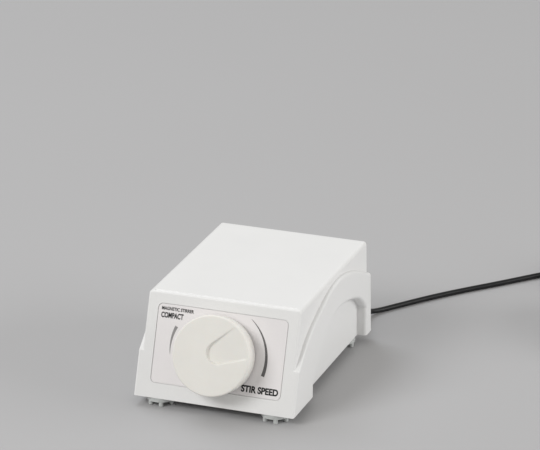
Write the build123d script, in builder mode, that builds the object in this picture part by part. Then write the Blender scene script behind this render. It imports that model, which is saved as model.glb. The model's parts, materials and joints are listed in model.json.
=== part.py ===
from build123d import *
import math
import os

os.makedirs("parts", exist_ok=True)

# A small magnetic stirrer. Millimetres, +Z up, the table at z = 0. +X is the operator's right and
# +Y points away from the operator. The origin is under the middle of the stirrer's bounding box,
# knob included, so the housing's own middle lies a little behind it.

# ---------------------------------------------------------------- driving dimensions
WIDTH = 85.0             # across the side cheeks
UPPER_WIDTH = 80.6       # across the body above the cheeks
DEPTH = 120.0            # front bottom edge to rear bottom edge
HEIGHT = 55.2            # table to stirring plate
FOOT_HEIGHT = 4.8        # clear height under the housing
FRONT_RUN = 17.5         # how far the control panel leans back over the housing's height
REAR_RUN = 2.2           # how far the rear wall leans forward
WALL = 2.4               # moulded wall thickness

RECESS_DEPTH = 5.0       # how deep the arch on each side is sunk below the cheek
FRONT_LEG = 29.8         # length of the cheek's front leg along the bottom
REAR_LEG = 8.6           # length of the cheek's rear leg along the bottom
TOP_EDGE_RADIUS = 2.0
CORNER_RADIUS = 1.2      # upright corners
LEDGE_RADIUS = 1.3       # rounded top of the cheek
ARCH_EDGE_RADIUS = 1.8   # rounded rim of the sunk arch
GROOVE_RADIUS = 0.75     # thin groove where the stirring plate meets the panel
GROOVE_BACK = 1.6        # groove's middle behind the plate's front edge
GROOVE_RAISE = 0.25      # groove's middle above the plate
GROOVE_MARGIN = 2.6      # plain stretch at each end of the groove

KNOB_RADIUS = 20.5
KNOB_HEIGHT = 12.4       # knob's face above the panel
KNOB_GAP = 0.9           # under the knob's skirt
KNOB_DRAFT = 0.9         # how much wider the knob is at its face than at its skirt
KNOB_EDGE = 1.6          # rounding between the knob's face and side
KNOB_UP = 26.0           # knob axis, measured up the panel from its bottom edge

LABEL_WIDTH = 68.4
LABEL_HEIGHT = 39.6
LABEL_UP = 27.7          # middle of the label, measured up the panel
LABEL_SINK = 0.6         # depth of the label's recess
LABEL_THICK = 0.5
LABEL_GAP = 0.35         # between the label and its recess
LABEL_CORNER = 2.3

STIR_BACK = 18.0         # stirring axis behind the middle of the housing
RUN_FIT = 0.05           # radial running clearance of a shaft in its hole
HOLE_FIT = 0.1           # radial clearance of a part that is pushed through a hole
PAST = 1.0               # how far a cut runs past the face that it opens

CORD_DIAMETER = 2.8

# ---------------------------------------------------------------- derived places
BODY_HEIGHT = HEIGHT - FOOT_HEIGHT
LEAN = math.atan2(FRONT_RUN, BODY_HEIGHT)
SIN = math.sin(LEAN)
COS = math.cos(LEAN)
KNOB_FLARE = math.atan2(KNOB_DRAFT, KNOB_HEIGHT - KNOB_GAP)
RIM_CENTRE = KNOB_RADIUS - KNOB_EDGE * math.tan(KNOB_FLARE) - KNOB_EDGE / math.cos(KNOB_FLARE)
# How far the rounded rim of the knob reaches in front of the housing's front bottom edge.
OVERHANG = (KNOB_HEIGHT - KNOB_EDGE) * COS + RIM_CENTRE * SIN + KNOB_EDGE - KNOB_UP * SIN
MIDDLE = OVERHANG / 2                      # Y of the housing's own middle
FRONT = MIDDLE - DEPTH / 2                 # Y of the housing's front bottom edge
REAR = MIDDLE + DEPTH / 2
STIR_Y = MIDDLE + STIR_BACK
HALF_WIDTH = WIDTH / 2
HALF_UPPER = UPPER_WIDTH / 2
HALF_RECESS = HALF_WIDTH - RECESS_DEPTH
HALF_CAVITY = HALF_RECESS - WALL
CEILING = HEIGHT - WALL

# The control panel: x to the right, y up the slope from the bottom edge, z out of the panel.
PANEL = Plane(origin=(0, FRONT, FOOT_HEIGHT), x_dir=(1, 0, 0), z_dir=(0, -COS, SIN))
KNOB_PLANE = Plane(origin=(0, FRONT + KNOB_UP * SIN, FOOT_HEIGHT + KNOB_UP * COS),
                   x_dir=(1, 0, 0), z_dir=(0, -COS, SIN))


def front_at(z):
    """Y of the control panel's outer face at height z."""
    return FRONT + (z - FOOT_HEIGHT) * FRONT_RUN / BODY_HEIGHT


def rear_at(z):
    """Y of the rear wall's outer face at height z."""
    return REAR - (z - FOOT_HEIGHT) * REAR_RUN / BODY_HEIGHT


def write(block, name):
    """Labels a finished piece and writes its STEP file."""
    block.part.label = name
    export_step(block.part, f"parts/{name}.step")


# ---------------------------------------------------------------- outlines seen from the side
# Points of the ledge along the cheek's top, as (distance behind the housing's middle, height).
LEDGE = [(-46.5, 31.3), (-37.5, 38.2), (-22.0, 45.2), (-4.0, 50.9), (9.0, 52.2),
         (25.0, 50.3), (44.0, 43.8)]
LEDGE_FRONT_Z = 26.8
LEDGE_REAR_Z = 37.2
# Points of the arch, from its front foot over the top to its rear foot.
ARCH = [(-24.6, 16.6), (-14.5, 27.0), (-3.0, 34.6), (11.0, 36.6), (30.0, 33.2), (44.0, 27.4)]
ARCH_FRONT_Z = 11.6
ARCH_REAR_Z = 20.0
ARCH_FRONT = -DEPTH / 2 + FRONT_LEG
ARCH_REAR = DEPTH / 2 - REAR_LEG
# Shares by which the arch's crown moves forward, back and up when the arch is opened outwards.
GROW_FRONT = 0.7
GROW_REAR = 0.4
GROW_UP = 0.8


def behind_middle(points):
    """Side-view points given behind the housing's middle, moved to the part's own frame."""
    return [(MIDDLE + y, z) for y, z in points]


def body_outline(inset=0.0, bottom=FOOT_HEIGHT):
    """The housing's side view, pulled in by inset on the front, rear and top."""
    top = HEIGHT - inset
    front_inset = inset / COS
    points = [
        (front_at(bottom) + front_inset, bottom),
        (front_at(top) + front_inset, top),
        (rear_at(top) - inset, top),
        (rear_at(bottom) - inset, bottom),
    ]
    with BuildSketch(Plane.XY) as outline:
        with BuildLine():
            Polyline(*points, close=True)
        make_face()
    return outline.sketch


def cheek_outline(inset=0.0, bottom=FOOT_HEIGHT):
    """One side cheek seen from the side, under its curved ledge."""
    front_inset = inset / COS
    ledge = [(y, z - inset) for y, z in behind_middle(LEDGE)]
    front_top = (front_at(LEDGE_FRONT_Z - inset) + front_inset, LEDGE_FRONT_Z - inset)
    rear_top = (rear_at(LEDGE_REAR_Z - inset) - inset, LEDGE_REAR_Z - inset)
    front_foot = (front_at(bottom) + front_inset, bottom)
    rear_foot = (rear_at(bottom) - inset, bottom)
    with BuildSketch(Plane.XY) as outline:
        with BuildLine():
            Spline(front_top, *ledge, rear_top)
            Line(rear_top, rear_foot)
            Line(rear_foot, front_foot)
            Line(front_foot, front_top)
        make_face()
    return outline.sketch


def arch_outline(grow=0.0, bottom=FOOT_HEIGHT - PAST):
    """The sunk arch between the cheek's legs, opened outwards by grow."""
    front = MIDDLE + ARCH_FRONT - grow
    rear = MIDDLE + ARCH_REAR + grow
    crown = [(y - grow * (GROW_FRONT if y < MIDDLE else -GROW_REAR), z + grow * GROW_UP)
             for y, z in behind_middle(ARCH)]
    with BuildSketch(Plane.XY) as outline:
        with BuildLine():
            Spline((front, ARCH_FRONT_Z), *crown, (rear, ARCH_REAR_Z))
            Line((rear, ARCH_REAR_Z), (rear, bottom))
            Line((rear, bottom), (front, bottom))
            Line((front, bottom), (front, ARCH_FRONT_Z))
        make_face()
    return outline.sketch


# ================================================================ places inside
COVER_THICK = 2.5
COVER_TOP = FOOT_HEIGHT + COVER_THICK
COVER_GAP = 0.3                                # around the bottom cover
CASE_SCREW_RADIUS = 1.5
CASE_HEAD_RADIUS = 2.85
CASE_HEAD_DEPTH = 1.4
CASE_TIP = 1.5
CASE_SLOT = (2.8, 0.6, 1.2)                    # length, width and depth of the head's cross
CASE_BOSS_RADIUS = 3.6
FRONT_BOSS = (29.0, MIDDLE - 38.0)
REAR_BOSS = (29.0, MIDDLE + 32.0)
CASE_SCREW_LENGTH = 12.0
CASE_SCREW_PLACES = [(side * x, y) for x, y in (FRONT_BOSS, REAR_BOSS) for side in (-1, 1)]

FOOT_X = 30.4
FOOT_FRONT_Y = MIDDLE - 52.6
FOOT_REAR_Y = MIDDLE + 47.0
FOOT_RADIUS = 7.2
FOOT_DISC = 2.3
NUB_COUNT = 6
NUB_START = -70.0                              # direction of the first nub, in degrees
NUB_RADIUS = 1.15
NUB_CIRCLE = 6.0
NUB_EDGE = 0.4
STEM_RADIUS = 1.6
STEM_HEAD_RADIUS = 2.3
STEM_HEAD = 1.4
STEM_TAPER = 12

BUSHING_RADIUS = 3.5                           # threaded neck of the speed control
BUSHING_TOP = 3.3
SHAFT_RADIUS = 3.0
PANEL_BACK = -WALL - 2 * HOLE_FIT
LABEL_TOP = LABEL_THICK - LABEL_SINK

EXIT_X = 30.0                                  # where the cord leaves the rear wall
EXIT_Z = 12.4
GROMMET_RADIUS = 3.4

# ================================================================ top housing
with BuildPart() as arches:
    with BuildSketch(Plane.YZ.offset(HALF_RECESS)):
        add(arch_outline())
    extrude(amount=RECESS_DEPTH + PAST)
    mirror(about=Plane.YZ)

with BuildPart() as cheeks:
    with BuildSketch(Plane.YZ):
        add(cheek_outline())
    extrude(amount=HALF_WIDTH, both=True)
    ledge_edges = [e for e in cheeks.edges()
                   if e.geom_type == GeomType.BSPLINE and abs(e.center().X) > HALF_UPPER]
    fillet(ledge_edges, LEDGE_RADIUS)
    for end in (0, -1):
        end_face = cheeks.faces().sort_by(Axis.Y)[end]
        fillet(end_face.edges().filter_by(GeomType.LINE).filter_by(Axis.X, reverse=True), CORNER_RADIUS)
    add(arches.part, mode=Mode.SUBTRACT)
    arch_rims = [e for e in cheeks.edges(Select.LAST)
                 if e.length > ARCH_EDGE_RADIUS and abs(abs(e.center().X) - HALF_WIDTH) < RUN_FIT
                 and e.center().Z > FOOT_HEIGHT + RUN_FIT]
    fillet(arch_rims, ARCH_EDGE_RADIUS)

with BuildPart() as upper_body:
    with BuildSketch(Plane.YZ):
        add(body_outline())
    extrude(amount=HALF_UPPER, both=True)
    top_face = upper_body.faces().sort_by(Axis.Z)[-1]
    fillet(top_face.edges().sort_by(Axis.Y)[1:], TOP_EDGE_RADIUS)
    for end in (0, -1):
        end_face = upper_body.faces().sort_by(Axis.Y)[end]
        fillet(end_face.edges().filter_by(GeomType.LINE).filter_by(Axis.X, reverse=True), CORNER_RADIUS)

with BuildPart() as cavity:
    with BuildSketch(Plane.YZ):
        add(body_outline(WALL, bottom=FOOT_HEIGHT - PAST))
    extrude(amount=HALF_CAVITY, both=True)
    with BuildSketch(Plane.YZ):
        add(body_outline(WALL, bottom=FOOT_HEIGHT - PAST))
        add(arch_outline(WALL, bottom=FOOT_HEIGHT - 2 * PAST), mode=Mode.SUBTRACT)
    extrude(amount=HALF_UPPER - WALL, both=True)
    with BuildSketch(Plane.YZ):
        add(cheek_outline(WALL, bottom=FOOT_HEIGHT - PAST))
        add(arch_outline(WALL, bottom=FOOT_HEIGHT - 2 * PAST), mode=Mode.SUBTRACT)
    extrude(amount=HALF_WIDTH - WALL, both=True)

# Four screw bosses hang from the ceiling and stand on the bottom cover.
with BuildPart() as bosses:
    with BuildSketch(Plane.XY.offset(COVER_TOP)):
        with Locations(*CASE_SCREW_PLACES):
            Circle(CASE_BOSS_RADIUS)
    extrude(amount=CEILING + PAST - COVER_TOP)

with BuildPart() as top_housing:
    add(upper_body.part)
    add(cheeks.part)
    add(arches.part, mode=Mode.SUBTRACT)
    add(cavity.part, mode=Mode.SUBTRACT)
    add(bosses.part)
    # pilot holes for the case screws
    with BuildSketch(Plane.XY.offset(COVER_TOP)):
        with Locations(*CASE_SCREW_PLACES):
            Circle(CASE_SCREW_RADIUS)
    extrude(amount=CASE_SCREW_LENGTH, mode=Mode.SUBTRACT)
    # shallow recess for the label, with the hole for the speed control's neck
    with BuildSketch(PANEL):
        with Locations((0, LABEL_UP)):
            RectangleRounded(LABEL_WIDTH + 2 * LABEL_GAP, LABEL_HEIGHT + 2 * LABEL_GAP,
                             LABEL_CORNER + LABEL_GAP)
    extrude(amount=-LABEL_SINK, mode=Mode.SUBTRACT)
    with BuildSketch(PANEL):
        with Locations((0, KNOB_UP)):
            Circle(BUSHING_RADIUS + HOLE_FIT)
    extrude(amount=-2 * WALL, mode=Mode.SUBTRACT)
    # hole for the cord's grommet
    with BuildSketch(Plane.XZ.offset(-REAR - PAST)):
        with Locations((EXIT_X, EXIT_Z)):
            Circle(GROMMET_RADIUS)
    extrude(amount=WALL * 2, mode=Mode.SUBTRACT)
    # thin groove where the stirring plate meets the panel
    with BuildSketch(Plane.YZ):
        with Locations((front_at(HEIGHT) + GROOVE_BACK, HEIGHT + GROOVE_RAISE)):
            Circle(GROOVE_RADIUS)
    extrude(amount=HALF_UPPER - GROOVE_MARGIN, both=True, mode=Mode.SUBTRACT)
write(top_housing, "top_housing")

# ================================================================ bottom cover, feet, case screws
with BuildPart() as cover_blank:
    with BuildSketch(Plane.XY.offset(FOOT_HEIGHT)):
        front_edge = front_at(COVER_TOP) + WALL / COS + COVER_GAP
        rear_edge_y = rear_at(COVER_TOP) - WALL - COVER_GAP
        with Locations((0, (front_edge + rear_edge_y) / 2)):
            Rectangle(2 * (HALF_CAVITY - COVER_GAP), rear_edge_y - front_edge)
        front_ear_end = MIDDLE + ARCH_FRONT - WALL - COVER_GAP
        with Locations((0, (front_edge + front_ear_end) / 2)):
            Rectangle(2 * (HALF_WIDTH - WALL - COVER_GAP), front_ear_end - front_edge)
        rear_ear_start = MIDDLE + ARCH_REAR + WALL + COVER_GAP
        with Locations((0, (rear_ear_start + rear_edge_y) / 2)):
            Rectangle(2 * (HALF_WIDTH - WALL - COVER_GAP), rear_edge_y - rear_ear_start)
    extrude(amount=COVER_THICK)

# Pads on the cover carry the motor bracket and the circuit board.
BRACKET_SCREW_X = 26.0
BRACKET_PAD_RADIUS = 3.5
BRACKET_FLANGE_Z = COVER_TOP + 2.0
BOARD_Y = MIDDLE - 27.0
BOARD_WIDTH = 44.0
BOARD_LENGTH = 30.0
BOARD_THICK = 1.6
BOARD_Z = COVER_TOP + 4.0
BOARD_HOLE_IN = 3.5                            # hole's middle in from the board's edges
BOARD_HOLE_X = BOARD_WIDTH - 2 * BOARD_HOLE_IN
BOARD_HOLE_Y = BOARD_LENGTH - 2 * BOARD_HOLE_IN
BOARD_PAD_RADIUS = 2.6
SMALL_PILOT = 1.0
PILOT_FLOOR = 1.0                              # left under a blind pilot hole

with BuildPart() as bottom_cover:
    add(cover_blank.part)
    with BuildSketch(Plane.XY.offset(COVER_TOP)):
        with Locations((-BRACKET_SCREW_X, STIR_Y), (BRACKET_SCREW_X, STIR_Y)):
            Circle(BRACKET_PAD_RADIUS)
    extrude(amount=BRACKET_FLANGE_Z - COVER_TOP)
    with BuildSketch(Plane.XY.offset(COVER_TOP)):
        with Locations((0, BOARD_Y)):
            with GridLocations(BOARD_HOLE_X, BOARD_HOLE_Y, 2, 2):
                Circle(BOARD_PAD_RADIUS)
    extrude(amount=BOARD_Z - COVER_TOP)
    with BuildSketch(Plane.XY.offset(FOOT_HEIGHT + PILOT_FLOOR)):
        with Locations((-BRACKET_SCREW_X, STIR_Y), (BRACKET_SCREW_X, STIR_Y)):
            Circle(SMALL_PILOT)
        with Locations((0, BOARD_Y)):
            with GridLocations(BOARD_HOLE_X, BOARD_HOLE_Y, 2, 2):
                Circle(SMALL_PILOT)
    extrude(amount=BOARD_Z - FOOT_HEIGHT - PILOT_FLOOR, mode=Mode.SUBTRACT)
    # countersunk holes for the case screws, plain ones for the feet's stems
    with Locations(Plane.XY.offset(FOOT_HEIGHT).rotated((180, 0, 0))):
        with Locations(*[(x, -y) for x, y in CASE_SCREW_PLACES]):
            CounterSinkHole(CASE_SCREW_RADIUS + HOLE_FIT, CASE_HEAD_RADIUS + RUN_FIT, depth=COVER_THICK)
    with BuildSketch(Plane.XY.offset(FOOT_HEIGHT)):
        for foot_y in (FOOT_FRONT_Y, FOOT_REAR_Y):
            with Locations((-FOOT_X, foot_y), (FOOT_X, foot_y)):
                Circle(STEM_RADIUS)
    extrude(amount=COVER_THICK, mode=Mode.SUBTRACT)
write(bottom_cover, "bottom_cover")


def screw(radius, head_radius, head_height, length):
    """A pan-head screw, its head's underside at z = 0 and its tip down."""
    with BuildPart() as made:
        with BuildSketch(Plane.XZ):
            with BuildLine():
                Polyline((0, head_height), (head_radius * 0.7, head_height),
                         (head_radius, head_height * 0.45), (head_radius, 0), (radius, 0),
                         (radius, radius - length), (0, -length), close=True)
            make_face()
        revolve(axis=Axis.Z)
        with BuildSketch(Plane.XY.offset(head_height)):
            Rectangle(head_radius, head_radius * 0.22)
            Rectangle(head_radius * 0.22, head_radius)
        extrude(amount=-head_height * 0.5, mode=Mode.SUBTRACT)
    return made.part


# Four flat-head self-tapping screws, driven up through the cover into the bosses.
with BuildPart() as case_screw:
    with BuildSketch(Plane.XZ):
        with BuildLine():
            Polyline((0, FOOT_HEIGHT), (CASE_HEAD_RADIUS, FOOT_HEIGHT),
                     (CASE_SCREW_RADIUS, FOOT_HEIGHT + CASE_HEAD_DEPTH),
                     (CASE_SCREW_RADIUS, COVER_TOP + CASE_SCREW_LENGTH - PAST - CASE_TIP),
                     (0, COVER_TOP + CASE_SCREW_LENGTH - PAST), close=True)
        make_face()
    revolve(axis=Axis.Z)
    with BuildSketch(Plane.XY.offset(FOOT_HEIGHT)):
        Rectangle(CASE_SLOT[0], CASE_SLOT[1])
        Rectangle(CASE_SLOT[1], CASE_SLOT[0])
    extrude(amount=CASE_SLOT[2], mode=Mode.SUBTRACT)

with BuildPart() as cover_screws:
    with Locations(*[(x, y, 0) for x, y in CASE_SCREW_PLACES]):
        add(case_screw.part)
write(cover_screws, "cover_screws")

# Soft foot: a thin disc on a ring of stubby pegs, held by a stem through the cover.
with BuildPart() as foot:
    with BuildSketch(Plane.XY.offset(FOOT_HEIGHT - FOOT_DISC)):
        Circle(FOOT_RADIUS)
    extrude(amount=FOOT_DISC)
    with BuildSketch(Plane.XY):
        with PolarLocations(NUB_CIRCLE, NUB_COUNT, start_angle=NUB_START):
            Circle(NUB_RADIUS)
    extrude(amount=FOOT_HEIGHT - FOOT_DISC)
    nub_ends = foot.faces().filter_by(Axis.Z).group_by(Axis.Z)[0]
    fillet(nub_ends.edges(), NUB_EDGE)
    with BuildSketch(Plane.XY.offset(FOOT_HEIGHT)):
        Circle(STEM_RADIUS)
    extrude(amount=COVER_THICK)
    with BuildSketch(Plane.XY.offset(COVER_TOP)):
        Circle(STEM_HEAD_RADIUS)
    extrude(amount=STEM_HEAD, taper=STEM_TAPER)

FOOT_PLACES = {
    "foot_front_left": (-FOOT_X, FOOT_FRONT_Y),
    "foot_front_right": (FOOT_X, FOOT_FRONT_Y),
    "foot_rear_left": (-FOOT_X, FOOT_REAR_Y),
    "foot_rear_right": (FOOT_X, FOOT_REAR_Y),
}
for foot_name, (foot_x, foot_y) in FOOT_PLACES.items():
    with BuildPart() as placed_foot:
        with Locations((foot_x, foot_y, 0)):
            add(foot.part)
    write(placed_foot, foot_name)

# ================================================================ control panel
with BuildPart() as label_plate:
    with BuildSketch(PANEL.offset(-LABEL_SINK)):
        with Locations((0, LABEL_UP)):
            RectangleRounded(LABEL_WIDTH, LABEL_HEIGHT, LABEL_CORNER)
        with Locations((0, KNOB_UP)):
            Circle(BUSHING_RADIUS + HOLE_FIT, mode=Mode.SUBTRACT)
    extrude(amount=LABEL_THICK)
write(label_plate, "label_plate")

# Speed control: a potentiometer behind the panel, its threaded neck through panel and label.
POT_RADIUS = 8.2
POT_DEPTH = 8.6
POT_SHEET = 0.5
POT_FLANGE = 1.0
POT_FLANGE_BACK = PANEL_BACK - POT_FLANGE
WAFER_BACK = PANEL_BACK - POT_DEPTH + 1.2
WAFER_THICK = 1.3
WAFER_TONGUE = (11.0, 7.0)                     # the wafer's tongue below the case, width and height
WAFER_SLOT = (13.0, 6.0)                       # the case's slot for it
WAFER_SLOT_ROOM = 0.7                          # spare slot behind the wafer
TAG_XS = (-4.0, 0.0, 4.0)
TAG_WIDTH = 1.6
TAG_LENGTH = 5.0
TAG_THICK = 0.4
TAG_MIDDLE = -POT_RADIUS - 2.4
WASHER_RADIUS = 5.6
WASHER_THICK = 0.4
NUT_RADIUS = 5.0                               # across flats, halved
NUT_THICK = 2.0
WIPER_RADIUS = 6.2
WIPER_THICK = 1.2
WIPER_LIFT = 0.5                               # wiper above the wafer

with BuildPart() as potentiometer_case:
    with BuildSketch(KNOB_PLANE.offset(PANEL_BACK - POT_DEPTH)):
        Circle(POT_RADIUS)
    extrude(amount=POT_DEPTH - POT_FLANGE)
    with BuildSketch(KNOB_PLANE.offset(PANEL_BACK - POT_DEPTH + POT_SHEET)):
        Circle(POT_RADIUS - POT_SHEET)
    extrude(amount=POT_DEPTH, mode=Mode.SUBTRACT)
    # slot below, where the wafer's tags come out
    with BuildSketch(KNOB_PLANE.offset(WAFER_BACK - WAFER_SLOT_ROOM)):
        with Locations((0, -POT_RADIUS)):
            Rectangle(*WAFER_SLOT)
    extrude(amount=WAFER_THICK + WAFER_SLOT_ROOM + 3 * HOLE_FIT, mode=Mode.SUBTRACT)
write(potentiometer_case, "potentiometer_case")

with BuildPart() as potentiometer_bushing:
    with BuildSketch(KNOB_PLANE.offset(POT_FLANGE_BACK)):
        Circle(POT_RADIUS)
    extrude(amount=POT_FLANGE)
    with BuildSketch(KNOB_PLANE.offset(PANEL_BACK)):
        Circle(BUSHING_RADIUS)
    extrude(amount=BUSHING_TOP - PANEL_BACK)
    with BuildSketch(KNOB_PLANE.offset(POT_FLANGE_BACK)):
        Circle(SHAFT_RADIUS + RUN_FIT)
    extrude(amount=BUSHING_TOP - POT_FLANGE_BACK, mode=Mode.SUBTRACT)
write(potentiometer_bushing, "potentiometer_bushing")

with BuildPart() as potentiometer_wafer:
    with BuildSketch(KNOB_PLANE.offset(WAFER_BACK)):
        Circle(POT_RADIUS - POT_SHEET - HOLE_FIT)
        with Locations((0, -POT_RADIUS + POT_SHEET)):
            Rectangle(*WAFER_TONGUE)
    extrude(amount=WAFER_THICK)
write(potentiometer_wafer, "potentiometer_wafer")

with BuildPart() as potentiometer_tags:
    for tag_x in TAG_XS:
        with BuildSketch(KNOB_PLANE.offset(WAFER_BACK - TAG_THICK)):
            with Locations((tag_x, TAG_MIDDLE)):
                Rectangle(TAG_WIDTH, TAG_LENGTH)
        extrude(amount=TAG_THICK)
write(potentiometer_tags, "potentiometer_tags")

WIPER_BACK = WAFER_BACK + WAFER_THICK + WIPER_LIFT
with BuildPart() as potentiometer_wiper:
    with BuildSketch(KNOB_PLANE.offset(WIPER_BACK)):
        Circle(WIPER_RADIUS)
        Circle(SHAFT_RADIUS, mode=Mode.SUBTRACT)
    extrude(amount=WIPER_THICK)
write(potentiometer_wiper, "potentiometer_wiper")

SHAFT_TOP = 9.6
SHAFT_FLAT = 1.5
HUB_BOTTOM = BUSHING_TOP + 0.7
with BuildPart() as potentiometer_shaft:
    with BuildSketch(KNOB_PLANE.offset(WIPER_BACK)):
        Circle(SHAFT_RADIUS)
    extrude(amount=SHAFT_TOP - WIPER_BACK)
    # the end is flattened on one side to turn the knob
    with BuildSketch(KNOB_PLANE.offset(HUB_BOTTOM)):
        with Locations((0, -SHAFT_RADIUS)):
            Rectangle(2 * SHAFT_RADIUS, 2 * SHAFT_FLAT)
    extrude(amount=SHAFT_TOP, mode=Mode.SUBTRACT)
write(potentiometer_shaft, "potentiometer_shaft")

with BuildPart() as panel_washer:
    with BuildSketch(KNOB_PLANE.offset(LABEL_TOP)):
        Circle(WASHER_RADIUS)
        Circle(BUSHING_RADIUS, mode=Mode.SUBTRACT)
    extrude(amount=WASHER_THICK)
write(panel_washer, "panel_washer")

with BuildPart() as panel_nut:
    with BuildSketch(KNOB_PLANE.offset(LABEL_TOP + WASHER_THICK)):
        RegularPolygon(NUT_RADIUS, 6, major_radius=False)
        Circle(BUSHING_RADIUS, mode=Mode.SUBTRACT)
    extrude(amount=NUT_THICK)
write(panel_nut, "panel_nut")

# Knob: a hollow cap on a splined hub, with a sunk finger scoop that opens towards its rim.
KNOB_SKIN = 2.0
HUB_RADIUS = 5.4
SCOOP_ANGLE = math.radians(33.0)               # direction of the scoop, up from the operator's right
SCOOP_DEPTH = 1.9                              # at its rounded end
SCOOP_TIP = 5.4                                # radius of its rounded end
SCOOP_TIP_OUT = 3.8                            # middle of its rounded end, out from the knob's axis
SCOOP_SPREAD = math.radians(11.0)              # of each side, from the scoop's middle line
SCOOP_RUN_OUT = 18.2                           # where its rising floor meets the knob's face
SCOOP_TILT = math.atan2(SCOOP_DEPTH, SCOOP_RUN_OUT - SCOOP_TIP_OUT + SCOOP_TIP)
CAP_UNDER = SHAFT_TOP + 2 * HOLE_FIT
RIB_THICK = 1.2
RIB_STEP = 45

with BuildPart() as speed_knob:
    with BuildSketch(Plane.XZ):
        with BuildLine():
            Polyline((0, KNOB_GAP), (KNOB_RADIUS - KNOB_DRAFT, KNOB_GAP),
                     (KNOB_RADIUS, KNOB_HEIGHT), (0, KNOB_HEIGHT), close=True)
        make_face()
    revolve(axis=Axis.Z)
    rim = speed_knob.edges().filter_by(GeomType.CIRCLE).group_by(Axis.Z)[-1]
    fillet(rim, KNOB_EDGE)
    with BuildSketch(Plane.XY.offset(KNOB_GAP)):
        Circle(KNOB_RADIUS - KNOB_DRAFT - KNOB_SKIN)
    extrude(amount=CAP_UNDER - KNOB_GAP, mode=Mode.SUBTRACT)
    with BuildSketch(Plane.XY.offset(HUB_BOTTOM)):
        Circle(HUB_RADIUS)
        for rib_angle in range(0, 180, RIB_STEP):
            Rectangle(2 * (KNOB_RADIUS - KNOB_DRAFT) - KNOB_SKIN, RIB_THICK, rotation=rib_angle)
    extrude(amount=CAP_UNDER - HUB_BOTTOM)
    with BuildSketch(Plane.XY.offset(HUB_BOTTOM)):
        Circle(SHAFT_RADIUS)
        with Locations((0, -SHAFT_RADIUS)):
            Rectangle(2 * SHAFT_RADIUS, 2 * SHAFT_FLAT, mode=Mode.SUBTRACT)
    extrude(amount=SHAFT_TOP - HUB_BOTTOM, mode=Mode.SUBTRACT)
with BuildPart() as scoop:
    along = Vector(math.cos(SCOOP_ANGLE), math.sin(SCOOP_ANGLE), 0)
    scoop_floor = Plane(
        origin=along * SCOOP_RUN_OUT + Vector(0, 0, KNOB_HEIGHT),
        x_dir=along * math.cos(SCOOP_TILT) + Vector(0, 0, math.sin(SCOOP_TILT)),
        z_dir=along * -math.sin(SCOOP_TILT) + Vector(0, 0, math.cos(SCOOP_TILT)),
    )
    tip_middle = SCOOP_TIP_OUT - SCOOP_RUN_OUT
    touch_x = tip_middle - SCOOP_TIP * math.sin(SCOOP_SPREAD)
    touch_y = SCOOP_TIP * math.cos(SCOOP_SPREAD)
    far = KNOB_RADIUS
    far_y = touch_y + (far - touch_x) * math.tan(SCOOP_SPREAD)
    with BuildSketch(scoop_floor):
        with BuildLine():
            Polyline((touch_x, touch_y), (far, far_y), (far, -far_y), (touch_x, -touch_y))
            ThreePointArc((touch_x, -touch_y), (tip_middle - SCOOP_TIP, 0), (touch_x, touch_y))
        make_face()
    extrude(amount=2 * SCOOP_DEPTH)
with BuildPart() as placed_knob:
    knob_at_panel = KNOB_PLANE.location * speed_knob.part
    add(knob_at_panel)
    add(KNOB_PLANE.location * scoop.part, mode=Mode.SUBTRACT)
write(placed_knob, "speed_knob")

# ================================================================ motor and magnetic rotor
MOTOR_RADIUS = 12.2
MOTOR_SHEET = 0.8
MOTOR_TOP = 37.3
CAN_BOTTOM = 16.3
CAP_BOTTOM = 14.3
BUSH_RADIUS = 2.5
SPINDLE_RADIUS = 1.0
SPINDLE_BOTTOM = 14.0
SPINDLE_TOP = 48.5
CAN_NECK_RADIUS = 3.2
CAN_NECK = 1.5
BRACKET_SHEET = 1.2
BRACKET_HALF_DEPTH = 8.0
BRACKET_LEG_X = 17.5
BRACKET_FLANGE_X = BRACKET_SCREW_X + 4.2
BRACKET_BEND = 1.6
MOTOR_SCREW_X = 8.0
MOTOR_SCREW_RADIUS = 1.25
CAP_SPIGOT = 1.6                               # thickness and height of the end cap's spigot
LOWER_BUSH = 3.0
UPPER_BUSH = 2.5
FIELD_INNER_RADIUS = 8.9
FIELD_GAP = 6.0
FIELD_LIFT = 3.0
FIELD_HEIGHT = 14.0
CORE_RADIUS = 8.2
CORE_LIFT = 4.0
CORE_HEIGHT = 12.0
CORE_SLOT = (5.2, 2.6)
CORE_SLOT_OUT = CORE_RADIUS - 2.3

with BuildPart() as motor_can:
    with BuildSketch(Plane.XY.offset(CAN_BOTTOM)):
        with Locations((0, STIR_Y)):
            Circle(MOTOR_RADIUS)
    extrude(amount=MOTOR_TOP - CAN_BOTTOM)
    with BuildSketch(Plane.XY.offset(CAN_BOTTOM)):
        with Locations((0, STIR_Y)):
            Circle(MOTOR_RADIUS - MOTOR_SHEET)
    extrude(amount=MOTOR_TOP - MOTOR_SHEET - CAN_BOTTOM, mode=Mode.SUBTRACT)
    with BuildSketch(Plane.XY.offset(MOTOR_TOP)):
        with Locations((0, STIR_Y)):
            Circle(CAN_NECK_RADIUS)
    extrude(amount=CAN_NECK)
    with BuildSketch(Plane.XY.offset(CAN_BOTTOM)):
        with Locations((0, STIR_Y)):
            Circle(BUSH_RADIUS)
        with Locations((-MOTOR_SCREW_X, STIR_Y), (MOTOR_SCREW_X, STIR_Y)):
            Circle(MOTOR_SCREW_RADIUS)
    extrude(amount=MOTOR_TOP, mode=Mode.SUBTRACT)
write(motor_can, "motor_can")

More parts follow.
